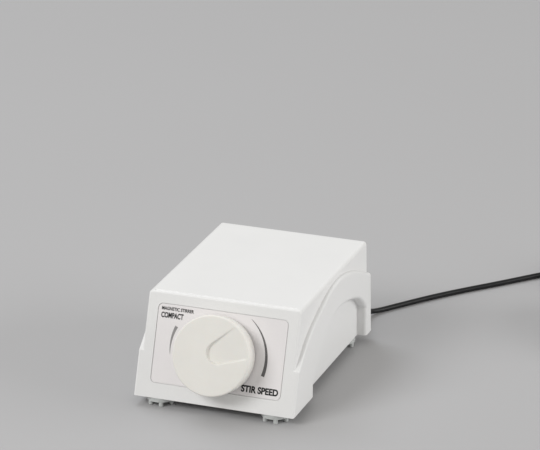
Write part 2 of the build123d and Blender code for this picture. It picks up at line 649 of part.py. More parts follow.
with BuildPart() as motor_end_cap:
    with BuildSketch(Plane.XY.offset(CAP_BOTTOM)):
        with Locations((0, STIR_Y)):
            Circle(MOTOR_RADIUS)
    extrude(amount=CAN_BOTTOM - CAP_BOTTOM)
    with BuildSketch(Plane.XY.offset(CAN_BOTTOM)):
        with Locations((0, STIR_Y)):
            Circle(MOTOR_RADIUS - MOTOR_SHEET)
            Circle(MOTOR_RADIUS - MOTOR_SHEET - CAP_SPIGOT, mode=Mode.SUBTRACT)
    extrude(amount=CAP_SPIGOT)
    with BuildSketch(Plane.XY.offset(CAP_BOTTOM)):
        with Locations((0, STIR_Y)):
            Circle(BUSH_RADIUS)
    extrude(amount=CAN_BOTTOM, mode=Mode.SUBTRACT)
write(motor_end_cap, "motor_end_cap")

with BuildPart() as motor_bushes:
    for bush_bottom, bush_top in ((CAP_BOTTOM, CAP_BOTTOM + LOWER_BUSH),
                                  (MOTOR_TOP - UPPER_BUSH, MOTOR_TOP + CAN_NECK)):
        with BuildSketch(Plane.XY.offset(bush_bottom)):
            with Locations((0, STIR_Y)):
                Circle(BUSH_RADIUS)
                Circle(SPINDLE_RADIUS + RUN_FIT, mode=Mode.SUBTRACT)
        extrude(amount=bush_top - bush_bottom)
write(motor_bushes, "motor_bushes")

with BuildPart() as motor_field_magnets:
    with BuildSketch(Plane.XY.offset(CAN_BOTTOM + FIELD_LIFT)):
        with Locations((0, STIR_Y)):
            Circle(MOTOR_RADIUS - MOTOR_SHEET)
            Circle(FIELD_INNER_RADIUS, mode=Mode.SUBTRACT)
            Rectangle(FIELD_GAP, 2 * MOTOR_RADIUS, mode=Mode.SUBTRACT)
    extrude(amount=FIELD_HEIGHT)
write(motor_field_magnets, "motor_field_magnets")

# Armature: a three-slot laminated core on the spindle.
with BuildPart() as motor_armature:
    with BuildSketch(Plane.XY.offset(CAN_BOTTOM + CORE_LIFT)):
        with Locations((0, STIR_Y)):
            Circle(CORE_RADIUS)
            Circle(SPINDLE_RADIUS, mode=Mode.SUBTRACT)
            with PolarLocations(CORE_SLOT_OUT, 3, start_angle=30):
                Rectangle(*CORE_SLOT, mode=Mode.SUBTRACT)
    extrude(amount=CORE_HEIGHT)
write(motor_armature, "motor_armature")

with BuildPart() as motor_spindle:
    with BuildSketch(Plane.XY.offset(SPINDLE_BOTTOM)):
        with Locations((0, STIR_Y)):
            Circle(SPINDLE_RADIUS)
    extrude(amount=SPINDLE_TOP - SPINDLE_BOTTOM)
write(motor_spindle, "motor_spindle")

TERMINAL_X = 6.5
TERMINAL_BOTTOM = 11.8
TERMINAL = (0.5, 2.4)
with BuildPart() as motor_terminals:
    with BuildSketch(Plane.XY.offset(TERMINAL_BOTTOM)):
        with Locations((-TERMINAL_X, STIR_Y), (TERMINAL_X, STIR_Y)):
            Rectangle(*TERMINAL)
    extrude(amount=CAP_BOTTOM - TERMINAL_BOTTOM)
write(motor_terminals, "motor_terminals")

# Sheet-metal bridge over the motor, its two feet screwed to pads on the bottom cover.
BRIDGE_TOP = MOTOR_TOP + BRACKET_SHEET
with BuildPart() as motor_bracket:
    with BuildSketch(Plane.XZ.offset(-(STIR_Y + BRACKET_HALF_DEPTH))):
        with BuildLine():
            Polyline(
                (-BRACKET_FLANGE_X, BRACKET_FLANGE_Z),
                (-BRACKET_LEG_X, BRACKET_FLANGE_Z),
                (-BRACKET_LEG_X, MOTOR_TOP),
                (BRACKET_LEG_X, MOTOR_TOP),
                (BRACKET_LEG_X, BRACKET_FLANGE_Z),
                (BRACKET_FLANGE_X, BRACKET_FLANGE_Z),
                (BRACKET_FLANGE_X, BRACKET_FLANGE_Z + BRACKET_SHEET),
                (BRACKET_LEG_X + BRACKET_SHEET, BRACKET_FLANGE_Z + BRACKET_SHEET),
                (BRACKET_LEG_X + BRACKET_SHEET, BRIDGE_TOP),
                (-BRACKET_LEG_X - BRACKET_SHEET, BRIDGE_TOP),
                (-BRACKET_LEG_X - BRACKET_SHEET, BRACKET_FLANGE_Z + BRACKET_SHEET),
                (-BRACKET_FLANGE_X, BRACKET_FLANGE_Z + BRACKET_SHEET), close=True)
        make_face()
    extrude(amount=2 * BRACKET_HALF_DEPTH)
    shoulders = motor_bracket.edges().filter_by(Axis.Y).group_by(Axis.Z)[-1]
    fillet(shoulders, BRACKET_BEND)
    with BuildSketch(Plane.XY.offset(BRACKET_FLANGE_Z)):
        with Locations((-BRACKET_SCREW_X, STIR_Y), (BRACKET_SCREW_X, STIR_Y)):
            Circle(SMALL_PILOT + 5 * HOLE_FIT)
    extrude(amount=BRACKET_SHEET, mode=Mode.SUBTRACT)
    with BuildSketch(Plane.XY.offset(MOTOR_TOP)):
        with Locations((0, STIR_Y)):
            Circle(CAN_NECK_RADIUS + HOLE_FIT)
        with Locations((-MOTOR_SCREW_X, STIR_Y), (MOTOR_SCREW_X, STIR_Y)):
            Circle(MOTOR_SCREW_RADIUS + HOLE_FIT)
    extrude(amount=BRACKET_SHEET, mode=Mode.SUBTRACT)
write(motor_bracket, "motor_bracket")

HEAD_HEIGHT = 1.5
MOTOR_HEAD_RADIUS = 2.3
SMALL_HEAD_RADIUS = 2.1
MOTOR_SCREW_LENGTH = BRACKET_SHEET + MOTOR_SHEET + 0.6
BRACKET_SCREW_LENGTH = 4.4
BOARD_SCREW_LENGTH = 5.0
with BuildPart() as motor_screws:
    with Locations((-MOTOR_SCREW_X, STIR_Y, BRIDGE_TOP), (MOTOR_SCREW_X, STIR_Y, BRIDGE_TOP)):
        add(screw(MOTOR_SCREW_RADIUS, MOTOR_HEAD_RADIUS, HEAD_HEIGHT, MOTOR_SCREW_LENGTH))
write(motor_screws, "motor_screws")

FLANGE_TOP = BRACKET_FLANGE_Z + BRACKET_SHEET
with BuildPart() as bracket_screws:
    with Locations((-BRACKET_SCREW_X, STIR_Y, FLANGE_TOP), (BRACKET_SCREW_X, STIR_Y, FLANGE_TOP)):
        add(screw(SMALL_PILOT, SMALL_HEAD_RADIUS, HEAD_HEIGHT, BRACKET_SCREW_LENGTH))
write(bracket_screws, "bracket_screws")

# Magnet holder: a moulded disc with a slot for the steel keeper and the two magnets.
HOLDER_RADIUS = 22.0
HOLDER_BOTTOM = 43.2
HOLDER_TOP = 50.8
HOLDER_HUB_BOTTOM = 40.6
HOLDER_HUB_RADIUS = 4.0
HOLDER_EDGE = 0.8
MAGNET_X = 14.0
MAGNET_LENGTH = 12.0
MAGNET_WIDTH = 14.0
KEEPER_THICK = 1.5
KEEPER_BOTTOM = 44.4
MAGNET_BOTTOM = KEEPER_BOTTOM + KEEPER_THICK

with BuildPart() as magnet_holder:
    with BuildSketch(Plane.XY.offset(HOLDER_BOTTOM)):
        with Locations((0, STIR_Y)):
            Circle(HOLDER_RADIUS)
    extrude(amount=HOLDER_TOP - HOLDER_BOTTOM)
    fillet(magnet_holder.edges().filter_by(GeomType.CIRCLE), HOLDER_EDGE)
    with BuildSketch(Plane.XY.offset(HOLDER_HUB_BOTTOM)):
        with Locations((0, STIR_Y)):
            Circle(HOLDER_HUB_RADIUS)
    extrude(amount=HOLDER_BOTTOM - HOLDER_HUB_BOTTOM)
    with BuildSketch(Plane.XY.offset(KEEPER_BOTTOM)):
        with Locations((0, STIR_Y)):
            Rectangle(2 * MAGNET_X + MAGNET_LENGTH, MAGNET_WIDTH)
    extrude(amount=HOLDER_TOP - KEEPER_BOTTOM, mode=Mode.SUBTRACT)
    with BuildSketch(Plane.XY.offset(HOLDER_HUB_BOTTOM)):
        with Locations((0, STIR_Y)):
            Circle(SPINDLE_RADIUS)
    extrude(amount=HOLDER_TOP, mode=Mode.SUBTRACT)
write(magnet_holder, "magnet_holder")

with BuildPart() as magnet_keeper:
    with BuildSketch(Plane.XY.offset(KEEPER_BOTTOM)):
        with Locations((0, STIR_Y)):
            Rectangle(2 * MAGNET_X + MAGNET_LENGTH, MAGNET_WIDTH)
            Circle(SPINDLE_RADIUS, mode=Mode.SUBTRACT)
    extrude(amount=KEEPER_THICK)
write(magnet_keeper, "magnet_keeper")

with BuildPart() as drive_magnets:
    with BuildSketch(Plane.XY.offset(MAGNET_BOTTOM)):
        with Locations((-MAGNET_X, STIR_Y), (MAGNET_X, STIR_Y)):
            Rectangle(MAGNET_LENGTH, MAGNET_WIDTH)
    extrude(amount=HOLDER_TOP - HOLE_FIT - MAGNET_BOTTOM)
write(drive_magnets, "drive_magnets")

# ================================================================ circuit board
BOARD_TOP = BOARD_Z + BOARD_THICK
with BuildPart() as circuit_board:
    with BuildSketch(Plane.XY.offset(BOARD_Z)):
        with Locations((0, BOARD_Y)):
            Rectangle(BOARD_WIDTH, BOARD_LENGTH)
            with GridLocations(BOARD_HOLE_X, BOARD_HOLE_Y, 2, 2):
                Circle(SMALL_PILOT + 3 * HOLE_FIT, mode=Mode.SUBTRACT)
    extrude(amount=BOARD_THICK)
write(circuit_board, "circuit_board")

with BuildPart() as board_screws:
    for screw_x in (-BOARD_HOLE_X / 2, BOARD_HOLE_X / 2):
        for screw_y in (BOARD_Y - BOARD_HOLE_Y / 2, BOARD_Y + BOARD_HOLE_Y / 2):
            with Locations((screw_x, screw_y, BOARD_TOP)):
                add(screw(SMALL_PILOT, SMALL_HEAD_RADIUS, HEAD_HEIGHT, BOARD_SCREW_LENGTH))
write(board_screws, "board_screws")

# Each capacitor's place on the board, radius and height.
CAPACITORS = [(-10.0, 3.5, 4.0, 12.0), (-1.5, 4.5, 3.1, 10.5)]
CAPACITOR_EDGE = 0.6
with BuildPart() as capacitors:
    for cap_x, cap_y, cap_radius, cap_height in CAPACITORS:
        with BuildSketch(Plane.XY.offset(BOARD_TOP)):
            with Locations((cap_x, BOARD_Y + cap_y)):
                Circle(cap_radius)
        extrude(amount=cap_height)
    can_tops = capacitors.faces().filter_by(Axis.Z).sort_by(Axis.Z)[-2:]
    fillet(can_tops.edges(), CAPACITOR_EDGE)
write(capacitors, "capacitors")

PIN_PITCH = 2.54
TRANSISTOR_X = 10.0
TRANSISTOR_Y = BOARD_Y + 3.5
TRANSISTOR_WIDTH = 10.0
TRANSISTOR_BODY = (4.4, 9.0)                   # depth and height
TRANSISTOR_TAB = (1.2, 6.0)
TRANSISTOR_PIN = (0.8, 0.5)
TRANSISTOR_LIFT = 3.0
TAB_TOP = TRANSISTOR_LIFT + TRANSISTOR_BODY[1]
with BuildPart() as drive_transistor:
    with BuildSketch(Plane.XY.offset(BOARD_TOP + TRANSISTOR_LIFT)):
        with Locations((TRANSISTOR_X, TRANSISTOR_Y)):
            Rectangle(TRANSISTOR_WIDTH, TRANSISTOR_BODY[0])
    extrude(amount=TRANSISTOR_BODY[1])
    with BuildSketch(Plane.XY.offset(BOARD_TOP + TAB_TOP)):
        with Locations((TRANSISTOR_X, TRANSISTOR_Y + (TRANSISTOR_BODY[0] - TRANSISTOR_TAB[0]) / 2)):
            Rectangle(TRANSISTOR_WIDTH, TRANSISTOR_TAB[0])
    extrude(amount=TRANSISTOR_TAB[1])
    with BuildSketch(Plane.XY.offset(BOARD_TOP)):
        with Locations((TRANSISTOR_X, TRANSISTOR_Y)):
            with GridLocations(PIN_PITCH, 0, 3, 1):
                Rectangle(*TRANSISTOR_PIN)
    extrude(amount=TRANSISTOR_LIFT)
write(drive_transistor, "drive_transistor")

CHIP_X = 6.0
CHIP_Y = BOARD_Y - 5.0
CHIP_SIZE = (9.6, 6.4)
CHIP_LIFT = 0.5
CHIP_THICK = 3.3
CHIP_PIN = (1.2, 0.8)
CHIP_PIN_HEIGHT = 2.2
CHIP_ROW_GAP = 7.0
with BuildPart() as control_chip:
    with BuildSketch(Plane.XY.offset(BOARD_TOP + CHIP_LIFT)):
        with Locations((CHIP_X, CHIP_Y)):
            Rectangle(*CHIP_SIZE)
    extrude(amount=CHIP_THICK)
    with BuildSketch(Plane.XY.offset(BOARD_TOP)):
        with Locations((CHIP_X, CHIP_Y)):
            with GridLocations(PIN_PITCH, CHIP_ROW_GAP, 4, 2):
                Rectangle(*CHIP_PIN)
    extrude(amount=CHIP_PIN_HEIGHT)
write(control_chip, "control_chip")

CONNECTOR_HEIGHT = 5.8
MOTOR_PLUG_X = -3.0
SUPPLY_PLUG_X = 7.0
CONTROL_PLUG_X = -8.0
REAR_PLUG_Y = BOARD_Y + 11.6
CONTROL_PLUG_Y = BOARD_Y - 10.5
TWO_WAY = (7.4, 4.6)
THREE_WAY = (9.9, 4.6)
with BuildPart() as board_connectors:
    with BuildSketch(Plane.XY.offset(BOARD_TOP)):
        with Locations((MOTOR_PLUG_X, REAR_PLUG_Y), (SUPPLY_PLUG_X, REAR_PLUG_Y)):
            Rectangle(*TWO_WAY)
        with Locations((CONTROL_PLUG_X, CONTROL_PLUG_Y)):
            Rectangle(*THREE_WAY)
    extrude(amount=CONNECTOR_HEIGHT)
write(board_connectors, "board_connectors")


RUN_SHARE = 0.45                               # share of the shorter run that a corner's arc takes


def bends(points):
    """Corner radii of a route, each as large as its two runs allow."""
    radii = []
    for before, corner, after in zip(points, points[1:], points[2:]):
        run_in = Vector(*corner) - Vector(*before)
        run_out = Vector(*after) - Vector(*corner)
        half_turn = math.radians(run_in.get_angle(run_out)) / 2
        radii.append(RUN_SHARE * min(run_in.length, run_out.length) / math.tan(half_turn))
    return radii


def tube(points, radius):
    """A round tube along straight runs joined by tangent arcs."""
    with BuildPart() as made:
        with BuildLine() as path:
            FilletPolyline(*points, radius=bends(points))
        with BuildSketch(path.line ^ 0):
            Circle(radius)
        sweep(path=path.line)
    return made.part


# ================================================================ leads inside the housing
LEAD_RADIUS = 0.6
LEAD_SPACE = 1.25                              # of a lead from the middle of a two-way plug
CORE_SPACE = 0.75                              # of a lead from the middle of the supply cord
LANE_X = 20.9                                  # where the supply leads pass the motor bracket
PLUG_TOP = BOARD_TOP + CONNECTOR_HEIGHT

with BuildPart() as motor_leads:
    for side in (-1, 1):
        plug_x = MOTOR_PLUG_X + side * LEAD_SPACE
        add(tube([(side * TERMINAL_X, STIR_Y - 1.2, TERMINAL_BOTTOM + 0.8),
                  (side * TERMINAL_X, STIR_Y - 13.0, TERMINAL_BOTTOM + 0.6),
                  (plug_x + side, STIR_Y - 20.0, TERMINAL_BOTTOM + 4.0),
                  (plug_x, REAR_PLUG_Y + 4.6, PLUG_TOP + 2.4),
                  (plug_x, REAR_PLUG_Y + 0.6, PLUG_TOP + 4.0),
                  (plug_x, REAR_PLUG_Y, PLUG_TOP + 0.15)], LEAD_RADIUS))
write(motor_leads, "motor_leads")

SUPPLY_Y = REAR - WALL - 7.0
with BuildPart() as supply_leads:
    for side in (-1, 1):
        plug_x = SUPPLY_PLUG_X + side * LEAD_SPACE
        lane_x = LANE_X + side * CORE_SPACE
        core_x = EXIT_X + side * CORE_SPACE
        add(tube([(core_x, SUPPLY_Y, EXIT_Z),
                  (core_x - 0.5, SUPPLY_Y - 7.0, EXIT_Z + 1.6),
                  (lane_x + 1.5, SUPPLY_Y - 18.0, 13.6),
                  (lane_x, STIR_Y + 9.0, 13.4),
                  (lane_x - 0.4, STIR_Y - 12.0, 13.8),
                  (plug_x + 7.0, REAR_PLUG_Y + 10.0, 16.0),
                  (plug_x, REAR_PLUG_Y + 4.6, PLUG_TOP + 2.4),
                  (plug_x, REAR_PLUG_Y + 0.6, PLUG_TOP + 4.0),
                  (plug_x, REAR_PLUG_Y, PLUG_TOP + 0.15)], LEAD_RADIUS))
write(supply_leads, "supply_leads")

SOLDER_Y = TAG_MIDDLE - TAG_LENGTH / 2 + LEAD_RADIUS
PLUG_SHARE = 0.625                             # the plug's pitch as a share of the tags'
with BuildPart() as control_leads:
    for tag_x in TAG_XS:
        tag_end = KNOB_PLANE.from_local_coords(
            Vector(tag_x, SOLDER_Y, WAFER_BACK - TAG_THICK - LEAD_RADIUS))
        plug_x = CONTROL_PLUG_X + tag_x * PLUG_SHARE
        add(tube([(tag_end.X, tag_end.Y, tag_end.Z),
                  (tag_end.X, tag_end.Y + 3.0, tag_end.Z + 0.4),
                  (plug_x + (tag_x + 4.0) * 0.1, CONTROL_PLUG_Y - 2.0, PLUG_TOP + 2.2),
                  (plug_x, CONTROL_PLUG_Y - 0.2, PLUG_TOP + 1.4),
                  (plug_x, CONTROL_PLUG_Y, PLUG_TOP + 0.15)], LEAD_RADIUS))
write(control_leads, "control_leads")

# ================================================================ cord and mains adapter
CORD_RADIUS = CORD_DIAMETER / 2
CORD_LOW = CORD_RADIUS                         # centreline of a cord lying on the table
BOOT_LENGTH = 12.0
BOOT_TIP_RADIUS = 2.1

# Grommet: flanges either side of the rear wall and a tapered boot around the cord.
FLANGE_RADIUS = 4.6
FLANGE_THICK = 1.3
WALL_THROUGH = 3.1                             # length of the grommet's neck
with BuildPart() as cord_grommet:
    with BuildSketch(Plane.XY):
        with BuildLine():
            Polyline((CORD_RADIUS, -WALL_THROUGH - FLANGE_THICK),
                     (FLANGE_RADIUS, -WALL_THROUGH - FLANGE_THICK),
                     (FLANGE_RADIUS, -WALL_THROUGH), (GROMMET_RADIUS, -WALL_THROUGH),
                     (GROMMET_RADIUS, 0), (FLANGE_RADIUS, 0),
                     (FLANGE_RADIUS, FLANGE_THICK), (GROMMET_RADIUS, 1.5 * FLANGE_THICK),
                     (BOOT_TIP_RADIUS, BOOT_LENGTH), (CORD_RADIUS, BOOT_LENGTH), close=True)
        make_face()
    revolve(axis=Axis.Y)
with BuildPart() as placed_grommet:
    with Locations((EXIT_X, REAR, EXIT_Z)):
        add(cord_grommet.part)
write(placed_grommet, "cord_grommet")

# Where the cord lies: out of the rear wall, down to the table and away to the right.
CORD_ROUTE = [
    (30.0, 59.5, 12.4),
    (30.0, 70.5, 12.3),
    (30.1, 79.5, 10.5),
    (30.8, 87.2, 5.2),
    (33.3, 95.6, 1.5),
    (43.4, 109.8, 1.4),
    (55.3, 125.1, 1.5),
    (67.5, 139.6, 1.4),
    (84.5, 157.1, 1.5),
    (101.5, 176.0, 1.6),
    (114.2, 188.0, 1.8),
    (126.9, 201.5, 2.2),
]
COIL_CENTRE = (142.3, 187.1)
COIL_PITCH = 1.02 * CORD_DIAMETER
COIL_LOW = 2.2                                 # centreline of the lowest turns
COIL_LAYERS = 4
COIL_ENTRY = 137.0                             # where the cord joins the coil, in degrees
COIL_TURNS = 12 + COIL_ENTRY / 360
COIL_MIDDLE = 6 * CORD_DIAMETER
COIL_HALF = COIL_PITCH * COIL_TURNS / COIL_LAYERS / 2
COIL_EDGE = 1.3
ADAPTER_ROUTE = [
    (163.6, 187.1, COIL_LOW + (COIL_LAYERS - 1) * CORD_DIAMETER),
    (163.7, 176.5, 10.4),
    (163.5, 165.5, 10.0),
    (163.5, 155.0, 10.0),
]
print("cord bends", [round(r, 1) for r in bends(CORD_ROUTE)], [round(r, 1) for r in bends(ADAPTER_ROUTE)])

coil_inside = COIL_MIDDLE - COIL_HALF - CORD_RADIUS
coil_outside = COIL_MIDDLE + COIL_HALF + CORD_RADIUS
coil_bottom = COIL_LOW - CORD_RADIUS
coil_height = COIL_LAYERS * CORD_DIAMETER
with BuildPart() as cord_coil:
    with BuildSketch(Plane.XY.offset(coil_bottom)):
        with Locations(COIL_CENTRE):
            Circle(coil_outside)
            Circle(coil_inside, mode=Mode.SUBTRACT)
    extrude(amount=coil_height)
    fillet(cord_coil.edges(), COIL_EDGE)
write(cord_coil, "cord_coil")

cord_tube = tube(CORD_ROUTE, CORD_RADIUS)
adapter_tube = tube(ADAPTER_ROUTE, CORD_RADIUS)
for run_name, run, route in (("cord", cord_tube, CORD_ROUTE), ("lead", adapter_tube, ADAPTER_ROUTE)):
    with BuildLine() as centreline:
        FilletPolyline(*route, radius=bends(route))
    run_length = centreline.wire().length
    section = math.pi * CORD_RADIUS ** 2
    print(run_name, "length", round(run_length, 1), "volume ratio", run.volume / run_length / section)
coil_length = 2 * math.pi * COIL_MIDDLE * COIL_TURNS
print("coil length", round(coil_length, 1))
with BuildPart() as power_cord:
    add(cord_tube)
write(power_cord, "power_cord")
with BuildPart() as adapter_lead:
    add(adapter_tube)
write(adapter_lead, "adapter_lead")

# A soft strap holds the turns together.
TIE_ANGLE = -130.0
TIE_THICK = 0.7
TIE_SPAN = 18.0
with BuildPart() as cord_tie:
    with BuildSketch(Plane.XZ):
        with Locations((COIL_MIDDLE, coil_bottom + coil_height / 2)):
            RectangleRounded(2 * COIL_HALF + CORD_DIAMETER + 2 * TIE_THICK,
                             coil_height + 2 * TIE_THICK, COIL_EDGE + TIE_THICK)
            RectangleRounded(2 * COIL_HALF + CORD_DIAMETER, coil_height, COIL_EDGE,
                             mode=Mode.SUBTRACT)
    revolve(axis=Axis.Z, revolution_arc=TIE_SPAN)
with BuildPart() as placed_tie:
    with Locations(Location((COIL_CENTRE[0], COIL_CENTRE[1], 0), (0, 0, TIE_ANGLE))):
        add(cord_tie.part)
write(placed_tie, "cord_tie")

# Plug-top mains adapter, lying on its side beside the coil, with two flat blades.
ADAPTER_X = ADAPTER_ROUTE[-1][0]
ADAPTER_FRONT = 147.0
ADAPTER_LENGTH = 48.0
ADAPTER_WIDTH = 36.0
ADAPTER_TALL = 26.0
ADAPTER_CORNER = 4.0
ADAPTER_EDGE = 1.8
BASE_WIDTH = 26.0
BASE_TALL = 20.0
BASE_CORNER = 3.0
BASE_THICK = 1.2
LEAD_Z = ADAPTER_ROUTE[-1][2]
ADAPTER_BOOT = 10.0
SOCKET_DEPTH = 4.0
BLADE_END = 0.45
BLADE_LENGTH = 17.0
BLADE_GAP = 12.7
BLADE_WIDTH = 6.3
BLADE_THICK = 1.5
with BuildPart() as adapter_body:
    with BuildSketch(Plane.XY):
        with Locations((ADAPTER_X, ADAPTER_FRONT - ADAPTER_LENGTH / 2)):
            RectangleRounded(ADAPTER_WIDTH, ADAPTER_LENGTH, ADAPTER_CORNER)
    extrude(amount=ADAPTER_TALL)
    fillet(adapter_body.faces().filter_by(Axis.Z).edges(), ADAPTER_EDGE)
    rear_plane = Plane.XZ.offset(-(ADAPTER_FRONT - ADAPTER_LENGTH))
    with BuildSketch(rear_plane):
        with Locations((ADAPTER_X, ADAPTER_TALL / 2)):
            RectangleRounded(BASE_WIDTH, BASE_TALL, BASE_CORNER)
    extrude(amount=BASE_THICK)
    with BuildSketch(Plane.XZ.offset(-ADAPTER_FRONT)):
        with Locations((ADAPTER_X, LEAD_Z)):
            Circle(GROMMET_RADIUS)
    extrude(amount=SOCKET_DEPTH, mode=Mode.SUBTRACT)
write(adapter_body, "adapter_body")

with BuildPart() as adapter_blades:
    with BuildSketch(rear_plane.offset(BASE_THICK)):
        with Locations((ADAPTER_X - BLADE_GAP / 2, ADAPTER_TALL / 2),
                       (ADAPTER_X + BLADE_GAP / 2, ADAPTER_TALL / 2)):
            Rectangle(BLADE_THICK, BLADE_WIDTH)
    extrude(amount=BLADE_LENGTH)
    ends = adapter_blades.faces().filter_by(Axis.Y).group_by(Axis.Y)[0]
    chamfer(ends.edges().filter_by(Axis.Z), BLADE_END)
write(adapter_blades, "adapter_blades")

with BuildPart() as adapter_boot:
    with BuildSketch(Plane.XY):
        with BuildLine():
            Polyline((CORD_RADIUS, -SOCKET_DEPTH), (GROMMET_RADIUS, -SOCKET_DEPTH),
                     (GROMMET_RADIUS, PAST), (BOOT_TIP_RADIUS, ADAPTER_BOOT),
                     (CORD_RADIUS, ADAPTER_BOOT), close=True)
        make_face()
    revolve(axis=Axis.Y)
with BuildPart() as placed_boot:
    with Locations((ADAPTER_X, ADAPTER_FRONT, LEAD_Z)):
        add(adapter_boot.part)
write(placed_boot, "adapter_boot")
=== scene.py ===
import json
import math

import bmesh
import bpy
from mathutils import Matrix, Vector


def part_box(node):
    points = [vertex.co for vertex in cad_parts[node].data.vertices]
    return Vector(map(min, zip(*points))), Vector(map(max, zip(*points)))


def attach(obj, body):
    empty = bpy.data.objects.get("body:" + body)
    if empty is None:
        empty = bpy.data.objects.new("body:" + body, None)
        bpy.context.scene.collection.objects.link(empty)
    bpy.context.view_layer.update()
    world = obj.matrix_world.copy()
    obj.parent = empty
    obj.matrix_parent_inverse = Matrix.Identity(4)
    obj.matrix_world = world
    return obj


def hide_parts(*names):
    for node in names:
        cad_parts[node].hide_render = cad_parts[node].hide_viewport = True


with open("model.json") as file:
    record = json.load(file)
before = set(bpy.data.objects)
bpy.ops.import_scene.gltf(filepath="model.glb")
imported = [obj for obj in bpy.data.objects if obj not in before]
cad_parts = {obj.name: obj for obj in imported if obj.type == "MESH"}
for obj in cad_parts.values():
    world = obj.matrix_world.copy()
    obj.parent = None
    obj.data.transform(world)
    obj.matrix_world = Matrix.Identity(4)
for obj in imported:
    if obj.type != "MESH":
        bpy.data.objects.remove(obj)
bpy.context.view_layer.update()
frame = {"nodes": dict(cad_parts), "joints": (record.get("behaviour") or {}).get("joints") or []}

# A small magnetic stirrer in its studio. Everything is in metres, in the CAD model's own frame.
MM = 0.001
scene = bpy.context.scene

# ================================================================== places read from the frame
KNOB_JOINT = next(j for j in frame["joints"] if j["name"] == "knob_turn")
KNOB_POINT = Vector(KNOB_JOINT["pos_m"])        # where the knob's axis meets the panel
OUT = Vector(KNOB_JOINT["axis"]).normalized()    # out of the panel
RIGHT = Vector((1, 0, 0))
UP = OUT.cross(RIGHT)                            # up the panel's slope
PANEL_TURN = Matrix((RIGHT, UP, OUT)).transposed().to_4x4()
ON_PANEL = Matrix.Translation(KNOB_POINT) @ PANEL_TURN


def out_of_panel(node):
    """The lowest and highest place of a CAD node along the knob's axis."""
    heights = [(v.co - KNOB_POINT).dot(OUT) for v in frame["nodes"][node].data.vertices]
    return min(heights), max(heights)


KNOB_BOTTOM, KNOB_FACE = out_of_panel("speed_knob")
LABEL_FACE = out_of_panel("label_plate")[1]
KNOB_RADIUS = (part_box("speed_knob")[1].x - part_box("speed_knob")[0].x) / 2
LABEL_LOW, LABEL_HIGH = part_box("label_plate")
REAR_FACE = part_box("top_housing")[1].y

# ================================================================== camera
VIEW_AZIMUTH = math.radians(20.13)
VIEW_ELEVATION = math.radians(21.23)
VIEW_DISTANCE = 1.826
VIEW_TARGET = Vector((-0.0015, 0.0311, 0.06975))
LENS = 238.6
SENSOR = 36.0


def make_camera():
    back = Vector((math.sin(VIEW_AZIMUTH) * math.cos(VIEW_ELEVATION),
                   -math.cos(VIEW_AZIMUTH) * math.cos(VIEW_ELEVATION),
                   math.sin(VIEW_ELEVATION)))
    data = bpy.data.cameras.new("camera")
    data.lens = LENS
    data.sensor_width = SENSOR
    data.sensor_fit = "HORIZONTAL"
    data.clip_end = 50.0
    camera = bpy.data.objects.new("camera", data)
    scene.collection.objects.link(camera)
    camera.location = VIEW_TARGET + VIEW_DISTANCE * back
    camera.rotation_euler = (-back).to_track_quat("-Z", "Y").to_euler()
    scene.camera = camera


# ================================================================== materials
PATCH_ENDS = (0.35, 0.65)        # where a pattern turns from the first colour to the second
GLOSS_ENDS = (0.3, 0.7)          # and from the first roughness to the second


def noise(tree, place, size, stretch, detail=3.0):
    """A cloudy pattern whose features are about size metres across."""
    if stretch:
        mapping = tree.nodes.new("ShaderNodeMapping")
        mapping.inputs["Scale"].default_value = stretch
        tree.links.new(place, mapping.inputs["Vector"])
        place = mapping.outputs["Vector"]
    made = tree.nodes.new("ShaderNodeTexNoise")
    made.inputs["Scale"].default_value = 1 / size
    made.inputs["Detail"].default_value = detail
    tree.links.new(place, made.inputs["Vector"])
    return made.outputs[0]


def material(name, colours, mottle, roughness, grain, depth, stretch=None, pattern=None, **sockets):
    """A surface whose colour drifts between two near colours over patches of mottle metres, whose
    roughness drifts between two values, and whose relief has grains of that size and depth."""
    made = bpy.data.materials.new(name)
    made.use_nodes = True
    tree = made.node_tree
    shader = tree.nodes["Principled BSDF"]
    for socket, value in sockets.items():
        shader.inputs[socket.replace("_", " ").title().replace("Ior", "IOR")].default_value = value
    place = tree.nodes.new("ShaderNodeTexCoord").outputs["Object"]

    ramp = tree.nodes.new("ShaderNodeValToRGB")
    for element, position, colour in zip(ramp.color_ramp.elements, PATCH_ENDS, colours):
        element.position = position
        element.color = (*colour, 1)
    drift = pattern(tree, place) if pattern else noise(tree, place, mottle, stretch)
    tree.links.new(drift, ramp.inputs["Fac"])
    tree.links.new(ramp.outputs["Color"], shader.inputs["Base Color"])

    gloss = tree.nodes.new("ShaderNodeMapRange")
    for socket, value in zip(("From Min", "From Max", "To Min", "To Max"),
                             (*GLOSS_ENDS, *roughness)):
        gloss.inputs[socket].default_value = value
    tree.links.new(noise(tree, place, mottle / 3, stretch), gloss.inputs["Value"])
    tree.links.new(gloss.outputs["Result"], shader.inputs["Roughness"])

    relief = tree.nodes.new("ShaderNodeBump")
    relief.inputs["Distance"].default_value = depth
    tree.links.new(noise(tree, place, grain, stretch, 2.0), relief.inputs["Height"])
    tree.links.new(relief.outputs["Normal"], shader.inputs["Normal"])
    return made


def traces(tree, place):
    """Runs of copper under a circuit board's green mask."""
    made = tree.nodes.new("ShaderNodeTexBrick")
    made.offset = 0.37
    for socket, value in (("Scale", 1.0), ("Mortar Size", 0.0004), ("Brick Width", 0.0062),
                          ("Row Height", 0.0021), ("Mortar Smooth", 0.2)):
        made.inputs[socket].default_value = value
    tree.links.new(place, made.inputs["Vector"])
    return made.outputs["Fac"]


def weave(tree, place):
    """The looped ribs of a woven strap."""
    made = tree.nodes.new("ShaderNodeTexWave")
    made.inputs["Scale"].default_value = 420
    made.inputs["Distortion"].default_value = 3.0
    made.inputs["Detail Scale"].default_value = 3.0
    tree.links.new(place, made.inputs["Vector"])
    return made.outputs["Fac"]


